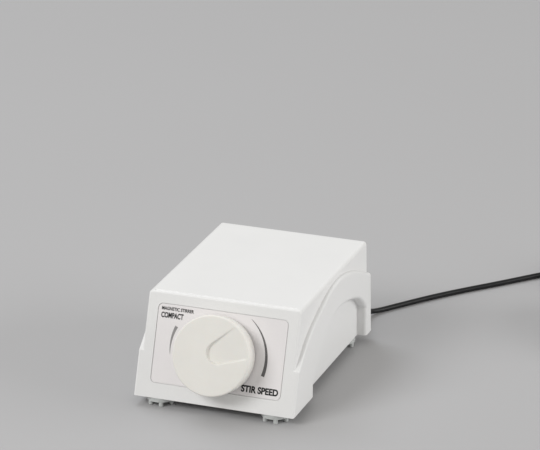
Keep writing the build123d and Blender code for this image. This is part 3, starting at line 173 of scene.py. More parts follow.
HOUSING_WHITE = material(
    "housing_white", ((0.835, 0.835, 0.83), (0.82, 0.82, 0.815)), 0.03, (0.30, 0.37),
    0.0005, 0.000003, specular_ior_level=0.4)
COVER_WHITE = material(
    "cover_white", ((0.72, 0.722, 0.72), (0.68, 0.682, 0.68)), 0.02, (0.45, 0.55), 0.0006, 0.00002)
LABEL_FILM = material(
    "label_film", ((0.84, 0.815, 0.815), (0.82, 0.795, 0.80)), 0.02, (0.40, 0.48),
    0.0003, 0.000002)
KNOB_IVORY = material(
    "knob_ivory", ((0.845, 0.83, 0.785), (0.825, 0.81, 0.765)), 0.012, (0.42, 0.50),
    0.0004, 0.000004, subsurface_weight=0.06, subsurface_radius=(0.003, 0.002, 0.0015))
FOOT_CLEAR = material(
    "foot_clear", ((0.60, 0.62, 0.61), (0.54, 0.56, 0.55)), 0.004, (0.22, 0.34), 0.0005, 0.00001,
    subsurface_weight=0.4, subsurface_radius=(0.002, 0.002, 0.002))
PRINT_PALE = material(
    "print_pale", ((0.30, 0.29, 0.29), (0.26, 0.255, 0.255)), 0.004, (0.5, 0.6), 0.0002, 0.000003)
PRINT_GREY = material(
    "print_grey", ((0.13, 0.125, 0.125), (0.105, 0.10, 0.10)), 0.004, (0.5, 0.6), 0.0002, 0.000003)
PRINT_BLACK = material(
    "print_black", ((0.014, 0.014, 0.015), (0.009, 0.009, 0.010)), 0.004, (0.5, 0.6),
    0.0002, 0.000003, specular_ior_level=0.25)
CORD_BLACK = material(
    "cord_black", ((0.012, 0.012, 0.013), (0.008, 0.008, 0.009)), 0.006, (0.30, 0.42),
    0.0006, 0.00001, specular_ior_level=0.3)
BOOT_BLACK = material(
    "boot_black", ((0.024, 0.024, 0.025), (0.015, 0.015, 0.016)), 0.004, (0.4, 0.55),
    0.0004, 0.00002)
ADAPTER_BLACK = material(
    "adapter_black", ((0.030, 0.030, 0.032), (0.020, 0.020, 0.021)), 0.008, (0.42, 0.58),
    0.0005, 0.00005)
STRAP_BLACK = material(
    "strap_black", ((0.045, 0.045, 0.048), (0.012, 0.012, 0.013)), 0.003, (0.8, 0.95),
    0.0003, 0.00012, pattern=weave, sheen_weight=0.4, sheen_roughness=0.5)
SCREW_STEEL = material(
    "screw_steel", ((0.62, 0.62, 0.60), (0.50, 0.50, 0.49)), 0.002, (0.25, 0.40), 0.0003, 0.000006,
    metallic=1.0)
SHEET_STEEL = material(
    "sheet_steel", ((0.66, 0.66, 0.67), (0.55, 0.55, 0.56)), 0.004, (0.24, 0.40), 0.0002, 0.000006,
    stretch=(1, 9, 9), metallic=1.0)
BLADE_NICKEL = material(
    "blade_nickel", ((0.68, 0.67, 0.63), (0.56, 0.55, 0.52)), 0.003, (0.18, 0.30), 0.0002, 0.000004,
    stretch=(9, 1, 9), metallic=1.0)
BRASS = material(
    "brass", ((0.72, 0.53, 0.25), (0.60, 0.43, 0.19)), 0.003, (0.28, 0.42), 0.0002, 0.000006,
    metallic=1.0)
NYLON = material(
    "moulded_nylon", ((0.74, 0.73, 0.66), (0.67, 0.66, 0.59)), 0.006, (0.45, 0.58),
    0.0005, 0.00001, subsurface_weight=0.15, subsurface_radius=(0.002, 0.002, 0.0015))
FERRITE = material(
    "ferrite", ((0.075, 0.075, 0.08), (0.045, 0.045, 0.048)), 0.003, (0.50, 0.70), 0.0003, 0.00003)
PHENOLIC = material(
    "phenolic", ((0.24, 0.125, 0.05), (0.17, 0.085, 0.032)), 0.002, (0.40, 0.52), 0.0003, 0.00001,
    stretch=(1, 6, 6))
BOARD_GREEN = material(
    "board_green", ((0.012, 0.10, 0.035), (0.02, 0.19, 0.07)), 0.004, (0.22, 0.35),
    0.0004, 0.00001, pattern=traces)
CAPACITOR_SLEEVE = material(
    "capacitor_sleeve", ((0.022, 0.026, 0.055), (0.014, 0.017, 0.038)), 0.004, (0.24, 0.36),
    0.0004, 0.000008)
BLACK_EPOXY = material(
    "black_epoxy", ((0.020, 0.020, 0.020), (0.012, 0.012, 0.012)), 0.002, (0.50, 0.65),
    0.0002, 0.00001)
LEAD_RED = material(
    "lead_wire", ((0.30, 0.014, 0.010), (0.22, 0.010, 0.008)), 0.003, (0.30, 0.42),
    0.0003, 0.00001)

NODE_MATERIALS = [
    (HOUSING_WHITE, ["top_housing"]),
    (COVER_WHITE, ["bottom_cover"]),
    (LABEL_FILM, ["label_plate"]),
    (FOOT_CLEAR, ["foot_front_left", "foot_front_right", "foot_rear_left", "foot_rear_right"]),
    (SCREW_STEEL, ["cover_screws", "motor_screws", "bracket_screws", "board_screws",
                   "motor_spindle"]),
    (SHEET_STEEL, ["potentiometer_case", "motor_can", "motor_bracket", "magnet_keeper",
                   "motor_armature", "panel_washer", "panel_nut"]),
    (BRASS, ["potentiometer_bushing", "potentiometer_tags", "motor_bushes", "motor_terminals"]),
    (NYLON, ["motor_end_cap", "magnet_holder", "board_connectors", "potentiometer_shaft"]),
    (FERRITE, ["motor_field_magnets", "drive_magnets"]),
    (PHENOLIC, ["potentiometer_wafer", "potentiometer_wiper"]),
    (BOARD_GREEN, ["circuit_board"]),
    (CAPACITOR_SLEEVE, ["capacitors"]),
    (BLACK_EPOXY, ["drive_transistor", "control_chip"]),
    (LEAD_RED, ["motor_leads", "supply_leads", "control_leads"]),
    (BLADE_NICKEL, ["adapter_blades"]),
]


def paint_nodes():
    for finish, names in NODE_MATERIALS:
        for name in names:
            for holder in frame["nodes"][name].material_slots:
                holder.material = finish


# ================================================================== mesh helpers
SHARP_ANGLE = math.radians(40)   # edges that turn more than this aren't shaded smooth


def piece(name, mesh, finish, body):
    """A finished mesh in the row frame, smooth-shaded, that rides on a body."""
    for polygon in mesh.polygons:
        polygon.use_smooth = True
    mesh.set_sharp_from_angle(angle=SHARP_ANGLE)
    mesh.materials.append(finish)
    made = bpy.data.objects.new(name, mesh)
    scene.collection.objects.link(made)
    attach(made, body)
    return made


def mesh_from(name, build):
    """A mesh made by a function that fills a bmesh, with its faces turned outwards."""
    work = bmesh.new()
    build(work)
    bmesh.ops.remove_doubles(work, verts=work.verts, dist=1e-7)
    bmesh.ops.recalc_face_normals(work, faces=work.faces)
    mesh = bpy.data.meshes.new(name)
    work.to_mesh(mesh)
    work.free()
    return mesh


def bridge(work, rings, closed_ends=True):
    """Quads between rings of as many points each, and a face over each open end."""
    loops = [[work.verts.new(place) for place in ring] for ring in rings]
    count = len(loops[0])
    for low, high in zip(loops, loops[1:]):
        for i in range(count):
            j = (i + 1) % count
            work.faces.new((low[i], low[j], high[j], high[i]))
    if closed_ends:
        work.faces.new(loops[0])
        work.faces.new(loops[-1])


# ================================================================== knob
KNOB_EDGE = 0.9 * MM
KNOB_DRAFT = 0.9 * MM
KNOB_SKIN = 2.0 * MM
HUB_RADIUS = 5.4 * MM
HUB_BORE = 3.02 * MM
HUB_BOTTOM = 4.0 * MM
BORE_TOP = 9.6 * MM
CAP_UNDER = 9.8 * MM
FACE_CROWN = 0.25 * MM           # how far the face falls from its middle to its rounding
SCOOP_ANGLE = math.radians(29)
SCOOP_DEPTH = 1.9 * MM
SCOOP_TIP = 5.4 * MM
SCOOP_TIP_OUT = 3.8 * MM
SCOOP_SPREAD = math.radians(12)
SCOOP_RUN_OUT = 18.2 * MM
SCOOP_WALL = 0.9 * MM            # how wide the wall of the scoop is
KNOB_SEGMENTS = 360
FACE_STEP = 0.2 * MM
EDGE_STEPS = 8
RIM_DRAFT = 0.12                 # share of the draft that the side has taken at the rounding
WAIST_DRAFT = 0.55               # and half way down
RIM_CHAMFER = 0.35 * MM
INNER_CHAMFER = 0.3 * MM
CAP_FILLET = 0.5 * MM
SIDE_EASE = 0.05 * MM
FACE_MARGIN = 0.01 * MM


def scoop_depth(x, y):
    """How deep the finger scoop is at a place on the knob's face."""
    along = x * math.cos(SCOOP_ANGLE) + y * math.sin(SCOOP_ANGLE)
    across = abs(y * math.cos(SCOOP_ANGLE) - x * math.sin(SCOOP_ANGLE))
    past = along - SCOOP_TIP_OUT
    if past * math.cos(SCOOP_SPREAD) + across * math.sin(SCOOP_SPREAD) < 0:
        inside = SCOOP_TIP - math.hypot(past, across)
    else:
        inside = SCOOP_TIP - across * math.cos(SCOOP_SPREAD) + past * math.sin(SCOOP_SPREAD)
    wall = min(max(inside / SCOOP_WALL + 0.5, 0.0), 1.0)
    wall = wall * wall * (3 - 2 * wall)
    length = SCOOP_RUN_OUT - SCOOP_TIP_OUT + SCOOP_TIP
    floor_depth = SCOOP_DEPTH * min(max((SCOOP_RUN_OUT - along) / length, 0.0), 1.0)
    return wall * floor_depth


def knob_rings():
    """Rings from the middle of the face, over the rim, down the side and back under the cap."""
    rings = []
    face_edge = KNOB_RADIUS - KNOB_DRAFT * RIM_DRAFT - KNOB_EDGE
    steps = round(face_edge / FACE_STEP)
    for i in range(1, steps + 1):
        radius = face_edge * i / steps
        fall = FACE_CROWN * (radius / face_edge) ** 2
        rings.append((radius, KNOB_FACE - fall))
    for i in range(1, EDGE_STEPS + 1):
        turn = math.pi / 2 * i / EDGE_STEPS
        rings.append((face_edge + KNOB_EDGE * math.sin(turn),
                      KNOB_FACE - FACE_CROWN - KNOB_EDGE * (1 - math.cos(turn))))
    skirt = KNOB_RADIUS - KNOB_DRAFT
    inside = skirt - KNOB_SKIN
    rings += [
        (KNOB_RADIUS - KNOB_DRAFT * WAIST_DRAFT, (KNOB_FACE + KNOB_BOTTOM) / 2),
        (skirt - SIDE_EASE, KNOB_BOTTOM + RIM_CHAMFER),
        (skirt - RIM_CHAMFER, KNOB_BOTTOM),
        (inside + INNER_CHAMFER, KNOB_BOTTOM),
        (inside, KNOB_BOTTOM + INNER_CHAMFER),
        (inside, CAP_UNDER - CAP_FILLET),
        (inside - CAP_FILLET, CAP_UNDER),
        (HUB_RADIUS + CAP_FILLET, CAP_UNDER),
        (HUB_RADIUS, CAP_UNDER - CAP_FILLET),
        (HUB_RADIUS, HUB_BOTTOM + INNER_CHAMFER),
        (HUB_RADIUS - INNER_CHAMFER, HUB_BOTTOM),
        (HUB_BORE + INNER_CHAMFER, HUB_BOTTOM),
        (HUB_BORE, HUB_BOTTOM + INNER_CHAMFER),
        (HUB_BORE, BORE_TOP),
    ]
    return rings


def build_knob(work):
    middle = work.verts.new((0, 0, KNOB_FACE - scoop_depth(0, 0)))
    loops = []
    for radius, height in knob_rings():
        loop = []
        for i in range(KNOB_SEGMENTS):
            angle = 2 * math.pi * i / KNOB_SEGMENTS
            x, y = radius * math.cos(angle), radius * math.sin(angle)
            on_face = height > KNOB_FACE - FACE_CROWN - FACE_MARGIN
            sunk = scoop_depth(x, y) if on_face else 0.0
            loop.append(work.verts.new((x, y, height - sunk)))
        loops.append(loop)
    for i in range(KNOB_SEGMENTS):
        j = (i + 1) % KNOB_SEGMENTS
        work.faces.new((middle, loops[0][i], loops[0][j]))
        for low, high in zip(loops, loops[1:]):
            work.faces.new((low[i], high[i], high[j], low[j]))
    work.faces.new(loops[-1])
    work.transform(ON_PANEL)


# ================================================================== print on the label
PRINT_LIFT = 0.02 * MM
PRINT_THICK = 0.03 * MM
ARC_RADIUS = 25.2 * MM
ARC_CENTRE = -0.6 * MM           # the scale's middle, to the right of the knob's axis
# (name, thin end, thick end, widest, finish)
ARCS = [
    ("scale_arc_left", math.radians(187), math.radians(154.5), 1.6 * MM, PRINT_PALE),
    ("scale_arc_right", math.radians(52), math.radians(-17), 1.8 * MM, PRINT_GREY),
]
ARC_THIN = 0.12 * MM
ARC_SWELL = 0.85                 # how evenly an arc widens: 1 is evenly
ARC_INWARD = 0.25                # share of an arc's width that lies inside its radius
ARC_STEPS = 64


def build_arc(work, thin_end, thick_end, widest):
    """A flat crescent about the knob's axis that widens from one end to the other."""
    bottom = LABEL_FACE + PRINT_LIFT
    rings = []
    for i in range(ARC_STEPS + 1):
        share = i / ARC_STEPS
        angle = thin_end + (thick_end - thin_end) * share
        width = ARC_THIN + (widest - ARC_THIN) * share ** ARC_SWELL
        inner = ARC_RADIUS - width * ARC_INWARD
        section = ((inner, bottom), (inner + width, bottom),
                   (inner + width, bottom + PRINT_THICK), (inner, bottom + PRINT_THICK))
        rings.append([(r * math.cos(angle), r * math.sin(angle), z) for r, z in section])
    bridge(work, rings)
    work.transform(ON_PANEL @ Matrix.Translation((ARC_CENTRE, 0, 0)))


def legend(words, size, boldness, width, x, up):
    """Print of generic words, fitted to a width, its baseline's start at that place."""
    name = "legend_" + words.lower().replace(" ", "_")
    data = bpy.data.curves.new(name, "FONT")
    data.body = words
    data.size = size
    data.offset = boldness
    data.extrude = PRINT_THICK / 2
    holder = bpy.data.objects.new("text_holder", data)
    mesh = bpy.data.meshes.new_from_object(holder)
    bpy.data.objects.remove(holder)
    starts, ends = min(v.co.x for v in mesh.vertices), max(v.co.x for v in mesh.vertices)
    stretch = Matrix.Diagonal((width / (ends - starts), 1, 1, 1))
    fitted = stretch @ Matrix.Translation((-starts, 0, 0))
    place = Matrix.Translation((x, up, LABEL_FACE + PRINT_LIFT + PRINT_THICK / 2))
    mesh.transform(ON_PANEL @ place @ fitted)
    piece(name, mesh, PRINT_BLACK, "housing")


LABEL_RISE = (LABEL_HIGH - KNOB_POINT).dot(UP)     # top of the label above the knob's axis
LABEL_FALL = (LABEL_LOW - KNOB_POINT).dot(UP)      # bottom of the label below the knob's axis
LEFT_MARGIN = 1.7 * MM
RIGHT_MARGIN = 1.2 * MM
SPEED_WIDTH = 19.4 * MM
# (words, letter size, boldness, width, left edge, baseline)
LEGENDS = [
    ("MAGNETIC STIRRER", 2.3 * MM, 0.07 * MM, 17 * MM, LABEL_LOW.x + LEFT_MARGIN,
     LABEL_RISE - 3.1 * MM),
    ("COMPACT", 3.7 * MM, 0.13 * MM, 11.8 * MM, LABEL_LOW.x + LEFT_MARGIN,
     LABEL_RISE - 6.9 * MM),
    ("STIR SPEED", 4.5 * MM, 0.18 * MM, SPEED_WIDTH, LABEL_HIGH.x - RIGHT_MARGIN - SPEED_WIDTH,
     LABEL_FALL + 2.1 * MM),
]


def make_print():
    for name, thin_end, thick_end, widest, finish in ARCS:
        mesh = mesh_from(name, lambda work: build_arc(work, thin_end, thick_end, widest))
        piece(name, mesh, finish, "housing")
    for words, size, boldness, width, left, baseline in LEGENDS:
        legend(words, size, boldness, width, left, baseline)


# ================================================================== cord
# The route's points are the CAD model's; the coil between them is worked out.
CORD_DIAMETER = 2.8 * MM
CORD_RADIUS = CORD_DIAMETER / 2
CORD_ROUTE = [
    (0.0300, 0.0595, 0.0124),
    (0.0300, 0.0705, 0.0123),
    (0.0301, 0.0795, 0.0105),
    (0.0308, 0.0872, 0.0052),
    (0.0333, 0.0956, 0.0015),
    (0.0434, 0.1098, 0.0014),
    (0.0553, 0.1251, 0.0015),
    (0.0675, 0.1396, 0.0014),
    (0.0845, 0.1571, 0.0015),
    (0.1015, 0.1760, 0.0016),
    (0.1142, 0.1880, 0.0018),
]
ADAPTER_ROUTE = [
    (0.1637, 0.1765, 0.0104),
    (0.1635, 0.1655, 0.0100),
    (0.1635, 0.1550, 0.0100),
]
COIL_CENTRE = Vector((0.1423, 0.1871))
COIL_MIDDLE = 6 * CORD_DIAMETER  # radius of the winding's middle
COIL_PITCH = 1.02 * CORD_DIAMETER  # from one turn to the next beside it
COIL_LAYERS = 4
COIL_ENTRY = math.radians(137)
COIL_TURNS = 12 + COIL_ENTRY / (2 * math.pi)
COIL_HALF = COIL_PITCH * COIL_TURNS / COIL_LAYERS / 2
COIL_LOW = 2.2 * MM              # lowest turn's centreline where the strap lies under it
COIL_SAG = 0.7 * MM              # how much lower the turns lie away from the strap
POINTS_PER_TURN = 16
CLIMB = 0.17                     # share of a turn in which the cord climbs to the next layer
CURVE_STEPS = 8                  # points along the curve between two control points
ROUND_STEPS = 6
STRAP_ANGLE = math.radians(-121)


def coil_points():
    """Turns wound in and out, layer on layer, from the cord's arrival to the adapter's lead."""
    count = round(COIL_TURNS * POINTS_PER_TURN)
    layer_turns = COIL_TURNS / COIL_LAYERS
    swell = 1 / math.cos(math.pi / POINTS_PER_TURN)
    points = []
    for i in range(count + 1):
        turned = COIL_TURNS * i / count
        layer = min(int(turned / layer_turns), COIL_LAYERS - 1)
        within = turned - layer * layer_turns
        share = max(0.0, (within - CLIMB) / (layer_turns - CLIMB))
        inward = share if layer % 2 == 0 else 1 - share
        radius = (COIL_MIDDLE + COIL_HALF * (1 - 2 * inward)) * swell
        climbed = layer - 1 + min(within / CLIMB, 1.0) if layer else 0.0
        angle = COIL_ENTRY - 2 * math.pi * turned
        sag = COIL_SAG * (0.5 - 0.5 * math.cos(angle - STRAP_ANGLE))
        points.append((COIL_CENTRE.x + radius * math.cos(angle),
                       COIL_CENTRE.y + radius * math.sin(angle),
                       COIL_LOW - sag + CORD_DIAMETER * climbed))
    return points


def curve_object(name, points, radius):
    """A round cord on a smooth spline through those control points."""
    data = bpy.data.curves.new(name, "CURVE")
    data.dimensions = "3D"
    data.resolution_u = CURVE_STEPS
    data.bevel_depth = radius
    data.bevel_resolution = ROUND_STEPS
    data.use_fill_caps = True
    spline = data.splines.new("NURBS")
    spline.points.add(len(points) - 1)
    for point, place in zip(spline.points, points):
        point.co = (*place, 1.0)
    spline.order_u = 3
    spline.use_endpoint_u = True
    made = bpy.data.objects.new(name, data)
    scene.collection.objects.link(made)
    return made


def centreline(curve):
    """The points down the middle of a cord's curve."""
    bare = curve.data.copy()
    bare.bevel_depth = 0
    holder = bpy.data.objects.new("bare_line", bare)
    mesh = bpy.data.meshes.new_from_object(holder)
    line = [v.co.copy() for v in mesh.vertices]
    bpy.data.objects.remove(holder)
    bpy.data.meshes.remove(mesh)
    bpy.data.curves.remove(bare)
    return line


def at_length(line, length):
    """The place and direction of a line, that far along it."""
    for a, b in zip(line, line[1:]):
        step = (b - a).length
        if length <= step:
            return a.lerp(b, length / step), (b - a).normalized()
        length -= step
    return line[-1], (line[-1] - line[-2]).normalized()


SLEEVE_SEGMENTS = 40
SLEEVE_BORE = CORD_RADIUS - 0.02 * MM
GROOVE_STEPS = 8
GROOVE_SHAPE = 0.6               # under 1 gives a groove a broad floor

# (distance from the rear wall's face, radius), both in millimetres: inner flange, neck in the
# wall, outer flange
GROMMET_SECTION = [(-4.4, 4.3), (-4.1, 4.6), (-3.4, 4.6), (-3.1, 4.3), (-3.1, 3.4), (0.0, 3.4),
                   (0.0, 4.3), (0.12, 4.55), (0.4, 4.6), (1.1, 4.5), (1.4, 4.25), (1.5, 3.9),
                   (1.7, 3.5)]
GROMMET_RIBS = 5
GROMMET_GROOVE = 0.42 * MM
GROMMET_RIBBED = (2.2 * MM, 11.0 * MM)         # from and to, outside the wall
GROMMET_TAPER = (3.25 * MM, 2.2 * MM)          # radius at those two places
GROMMET_TIP = [(11.6 * MM, 2.15 * MM), (12.0 * MM, 1.9 * MM), (12.0 * MM, SLEEVE_BORE),
               (-4.4 * MM, SLEEVE_BORE)]

# The same for the adapter's boot, in metres from where it starts inside the adapter
BOOT_ROOT = [(0.0, SLEEVE_BORE), (0.0, 3.3 * MM), (3.9 * MM, 3.3 * MM), (4.4 * MM, 3.35 * MM)]
BOOT_RIBS = 4
BOOT_GROOVE = 0.4 * MM
BOOT_RIBBED = (4.8 * MM, 1.2 * MM)             # from its root, and to this far from its tip
BOOT_TAPER = (3.3 * MM, 2.15 * MM)
BOOT_TIP_ROUND = 0.5 * MM
BOOT_TIP_RADII = (2.1 * MM, 1.85 * MM)


def build_sleeve(work, line, profile):
    """A moulded sleeve about a line: profile lists (distance along it, radius)."""
    rings = []
    for distance, radius in profile:
        place, ahead = at_length(line, distance)
        aside = ahead.cross(Vector((0, 0, 1))).normalized()
        over = aside.cross(ahead)
        rings.append([place + radius * (math.cos(a) * aside + math.sin(a) * over)
                      for a in (2 * math.pi * i / SLEEVE_SEGMENTS for i in range(SLEEVE_SEGMENTS))])
    bridge(work, rings + rings[:1], closed_ends=False)


def ribbed(start, end, radius_start, radius_end, count, groove):
    """A tapering stretch with rounded grooves around it."""
    profile = []
    steps = count * GROOVE_STEPS
    for i in range(steps + 1):
        share = i / steps
        dip = groove * max(0.0, math.sin(2 * math.pi * share * count)) ** GROOVE_SHAPE
        profile.append((start + (end - start) * share,
                        radius_start + (radius_end - radius_start) * share - dip))
    return profile


def make_grommet(line):
    """The strain relief in the rear wall: flanges on both sides and a ribbed, tapered boot."""
    start = REAR_FACE - line[0].y
    first, last = GROMMET_RIBBED
    profile = [(start + along * MM, radius * MM) for along, radius in GROMMET_SECTION]
    profile += ribbed(start + first, start + last, *GROMMET_TAPER, GROMMET_RIBS, GROMMET_GROOVE)
    profile += [(start + along, radius) for along, radius in GROMMET_TIP]
    mesh = mesh_from("cord_strain_relief", lambda work: build_sleeve(work, line, profile))
    made = piece("cord_strain_relief", mesh, BOOT_BLACK, "housing")
    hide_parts("cord_grommet")
    return made


BOOT_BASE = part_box("adapter_boot")[0].y
BOOT_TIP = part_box("adapter_boot")[1].y


def make_adapter_boot(line):
    """The adapter's own strain relief, about the last of the cord."""
    back = [Vector(p) for p in reversed(line)]
    end = back[0]
    into = [Vector((end.x, BOOT_BASE, end.z))] + back
    length = BOOT_TIP - BOOT_BASE
    first, left_over = BOOT_RIBBED
    shoulder, end_radius = BOOT_TIP_RADII
    profile = BOOT_ROOT + ribbed(first, length - left_over, *BOOT_TAPER, BOOT_RIBS, BOOT_GROOVE)
    profile += [(length - BOOT_TIP_ROUND, shoulder), (length, end_radius), (length, SLEEVE_BORE)]
    mesh = mesh_from("adapter_strain_relief", lambda work: build_sleeve(work, into, profile))
    made = piece("adapter_strain_relief", mesh, BOOT_BLACK, "housing")
    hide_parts("adapter_boot")
    return made


# ================================================================== strap round the coil
STRAP_SPAN = math.radians(16)
STRAP_THICK = 0.55 * MM
STRAP_ROUND = 1.7 * MM
STRAP_STEPS = 8
STRAP_SLACK = 0.05 * MM
CORNER_STEPS = 6
TAIL_START, TAIL_END = 0.05, 0.36  # shares of the loop over which the strap lies double
TAIL_LIFT = 0.98 * STRAP_THICK   # the doubled end is pressed a little into the strap below


def rounded_rectangle(half_x, half_y, radius):
    """Points of a rounded rectangle about the origin, anticlockwise."""
    points = []
    for corner, (sx, sy) in enumerate(((1, 1), (-1, 1), (-1, -1), (1, -1))):
        for i in range(CORNER_STEPS + 1):
            angle = math.pi / 2 * (corner + i / CORNER_STEPS)
            points.append((sx * (half_x - radius) + radius * math.cos(angle),
                           sy * (half_y - radius) + radius * math.sin(angle)))
    return points


def build_strap(work):
    """A flat strap wrapped once round the turns, with its end laid over its beginning."""
    box_low, box_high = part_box("cord_coil")
    middle_z = (box_low.z + box_high.z) / 2
    half_x = COIL_HALF + CORD_RADIUS + STRAP_SLACK
    half_z = (box_high.z - box_low.z) / 2 + STRAP_SLACK

    def band(lift, first, last):
        inner = rounded_rectangle(half_x + lift, half_z + lift, STRAP_ROUND)
        outer = rounded_rectangle(half_x + lift + STRAP_THICK, half_z + lift + STRAP_THICK,
                                  STRAP_ROUND + STRAP_THICK)
        count = len(inner)
        chosen = range(round(first * count), round(last * count) + 1)
        rings = []
        for i in chosen:
            (ix, iz), (ox, oz) = inner[i % count], outer[i % count]
            ring = []
            for step in range(STRAP_STEPS + 1):
                angle = STRAP_ANGLE + STRAP_SPAN * (step / STRAP_STEPS - 0.5)
                ring.append(around(angle, ox, oz))
            for step in reversed(range(STRAP_STEPS + 1)):
                angle = STRAP_ANGLE + STRAP_SPAN * (step / STRAP_STEPS - 0.5)
                ring.append(around(angle, ix, iz))
            rings.append(ring)
        whole = last - first >= 1
        if whole:
            rings[-1] = rings[0]
        bridge(work, rings, closed_ends=not whole)

    def around(angle, across, height):
        radius = COIL_MIDDLE + across
        return (COIL_CENTRE.x + radius * math.cos(angle),
                COIL_CENTRE.y + radius * math.sin(angle), middle_z + height)

    band(0.0, 0.0, 1.0)
    band(TAIL_LIFT, TAIL_START, TAIL_END)


# ================================================================== mains adapter
ADAPTER_LOW, ADAPTER_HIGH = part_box("adapter_body")
BASE_BOSS = 1.2 * MM
ADAPTER_ROUND = 4.0 * MM
ADAPTER_EDGE = 1.8 * MM
SEAM_HALF = 0.25 * MM
SEAM_DEPTH = 0.35 * MM
SEAM_EASE = 0.08 * MM            # how far the seam's lips draw in before its groove
PANEL_INSET = 4.5 * MM
PANEL_SINK = 0.3 * MM
PANEL_BEVELS = (0.2 * MM, 0.1 * MM)  # before and after the edge of the sunk panel
EDGE_LEVELS = 6
LEAST_ROUND = 1.2 * MM
BOSS_HALF_WIDE = 13 * MM
BOSS_HALF_TALL = 10 * MM
BOSS_ROUND = 3 * MM
# (distance out of the adapter's back, inset of the outline): the raised base's edge
BOSS_LEVELS = [(-0.4 * MM, 0.0), (BASE_BOSS - 0.35 * MM, 0.0), (BASE_BOSS - 0.1 * MM, 0.1 * MM),
               (BASE_BOSS, 0.35 * MM)]
GRIP_RIBS = 7
GRIP_PITCH = 2.4 * MM
GRIP_FORWARD = 4 * MM            # of the adapter's middle
GRIP_END = 4.5 * MM              # above the floor, and below the top
GRIP_SEAM = 1.4 * MM             # clear of the seam
GRIP_ROOT = 0.6 * MM             # how deep a rib is rooted in the wall
GRIP_TAPER = 0.5 * MM            # length of a rib's low end
GRIP_LOW = 0.35                  # share of its full section that a rib has at its end
# Half-round section of a rib: (out of the wall's root, along the wall)
GRIP_SECTION = [(0.0, -0.8 * MM), (0.45 * MM, -0.7 * MM), (0.58 * MM, -0.3 * MM),
                (0.58 * MM, 0.3 * MM), (0.45 * MM, 0.7 * MM), (0.0, 0.8 * MM)]


def build_adapter(work):
    """Two moulded shells meeting at a seam, a sunk blank rating panel and a raised base."""
    front, back = ADAPTER_HIGH.y, ADAPTER_LOW.y + BASE_BOSS
    centre = Vector(((ADAPTER_LOW.x + ADAPTER_HIGH.x) / 2, (front + back) / 2, 0))
    half_x, half_y = (ADAPTER_HIGH.x - ADAPTER_LOW.x) / 2, (front - back) / 2
    tall = ADAPTER_HIGH.z
    levels = []
    for i in range(EDGE_LEVELS + 1):
        turn = math.pi / 2 * i / EDGE_LEVELS
        levels.append((ADAPTER_EDGE * (1 - math.cos(turn)), ADAPTER_EDGE * (1 - math.sin(turn))))
    seam = [(tall / 2 - 2 * SEAM_HALF, 0), (tall / 2 - SEAM_HALF, SEAM_EASE),
            (tall / 2 - SEAM_HALF, SEAM_DEPTH), (tall / 2 + SEAM_HALF, SEAM_DEPTH),
            (tall / 2 + SEAM_HALF, SEAM_EASE), (tall / 2 + 2 * SEAM_HALF, 0)]
    top = [(tall - z, inset) for z, inset in reversed(levels)]
    before, after = PANEL_BEVELS
    panel = [(tall, PANEL_INSET - before), (tall - after, PANEL_INSET),
             (tall - PANEL_SINK, PANEL_INSET + after)]
    rings = []
    for z, inset in levels + seam + top + panel:
        radius = max(ADAPTER_ROUND - inset, LEAST_ROUND)
        rings.append([(centre.x + x, centre.y + y, z) for x, y in
                      rounded_rectangle(half_x - inset, half_y - inset, radius)])
    bridge(work, rings)

    boss = []
    for out, inset in BOSS_LEVELS:
        boss.append([(centre.x + x, back - out, tall / 2 + z) for x, z in
                     rounded_rectangle(BOSS_HALF_WIDE - inset, BOSS_HALF_TALL - inset,
                                       BOSS_ROUND - inset)])
    bridge(work, boss)


def build_grips(work):
    """Short finger ribs on both sides of the adapter."""
    tall = ADAPTER_HIGH.z
    middle_y = (ADAPTER_HIGH.y + ADAPTER_LOW.y) / 2 + GRIP_FORWARD
    halves = ((GRIP_END, tall / 2 - GRIP_SEAM), (tall / 2 + GRIP_SEAM, tall - GRIP_END))
    for face_x, outwards in ((ADAPTER_LOW.x, -1), (ADAPTER_HIGH.x, 1)):
        for i in range(GRIP_RIBS):
            y = middle_y + GRIP_PITCH * (i - (GRIP_RIBS - 1) / 2)
            for low, high in halves:
                rings = []
                for z, swell in ((low, GRIP_LOW), (low + GRIP_TAPER, 1),
                                 (high - GRIP_TAPER, 1), (high, GRIP_LOW)):
                    rings.append([(face_x - outwards * (GRIP_ROOT - out * swell),
                                   y + along * swell, z) for out, along in GRIP_SECTION])
                bridge(work, rings)


# ================================================================== floor and light
FLOOR_HALF = 12.0


def make_floor():
    half = FLOOR_HALF
    mesh = bpy.data.meshes.new("floor")
    mesh.from_pydata([(-half, -half, 0), (half, -half, 0), (half, half, 0), (-half, half, 0)], [],
                     [(0, 1, 2, 3)])
    finish = material("floor_grey", ((0.47, 0.468, 0.473), (0.463, 0.461, 0.466)), 0.5,
                      (0.5, 0.58), 0.003, 0.00001, specular_ior_level=0.25)
    mesh.materials.append(finish)
    floor = bpy.data.objects.new("floor", mesh)
    scene.collection.objects.link(floor)


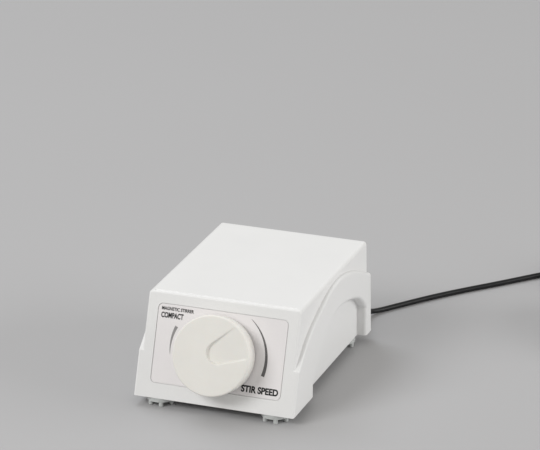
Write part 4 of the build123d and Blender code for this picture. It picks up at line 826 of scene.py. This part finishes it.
# (name, place, looks at, size, watts, colour)
LIGHTS = [
    ("key_softbox", (-1.0, 0.8, 1.8), (0, 0, 0.02), (1.1, 1.1), 12, (0.95, 0.985, 1.05)),
    ("front_softbox", (-1.1, -1.6, 1.45), (0, 0, 0.03), (1.2, 0.8), 25, (1, 1, 1)),
    ("right_softbox", (2.2, 0.3, 0.75), (0, 0, 0.03), (1.9, 1.0), 25, (1, 1, 1)),
]
SKY = (1.0, 0.98, 0.94, 1.0)
SKY_STRENGTH = 0.48


def make_lights():
    for name, place, target, size, watts, colour in LIGHTS:
        data = bpy.data.lights.new(name, "AREA")
        data.shape = "RECTANGLE"
        data.size, data.size_y = size
        data.energy = watts
        data.color = colour
        light = bpy.data.objects.new(name, data)
        scene.collection.objects.link(light)
        light.location = place
        aim = Vector(target) - Vector(place)
        light.rotation_euler = aim.to_track_quat("-Z", "Y").to_euler()
    world = bpy.data.worlds.new("studio")
    scene.world = world
    world.use_nodes = True
    sky = world.node_tree.nodes["Background"]
    sky.inputs["Color"].default_value = SKY
    sky.inputs["Strength"].default_value = SKY_STRENGTH
    scene.view_settings.view_transform = "Standard"


# ================================================================== everything in its place
make_camera()
paint_nodes()

cord = curve_object("supply_cord", CORD_ROUTE + coil_points() + ADAPTER_ROUTE, CORD_RADIUS)
cord.data.materials.append(CORD_BLACK)
cord_line = centreline(cord)
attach(cord, "housing")
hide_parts("power_cord", "cord_coil", "adapter_lead")
strain_relief = make_grommet(cord_line)
adapter_boot = make_adapter_boot(cord_line)

strap = piece("cord_strap", mesh_from("cord_strap", build_strap), STRAP_BLACK, "housing")
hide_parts("cord_tie")

adapter = piece("mains_adapter", mesh_from("mains_adapter", build_adapter), ADAPTER_BLACK,
                "housing")
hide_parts("adapter_body")
grips = piece("adapter_grips", mesh_from("adapter_grips", build_grips), ADAPTER_BLACK, "housing")

knob = piece("knob_cap", mesh_from("knob_cap", build_knob), KNOB_IVORY, "knob")
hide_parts("speed_knob")
make_print()
make_floor()
make_lights()
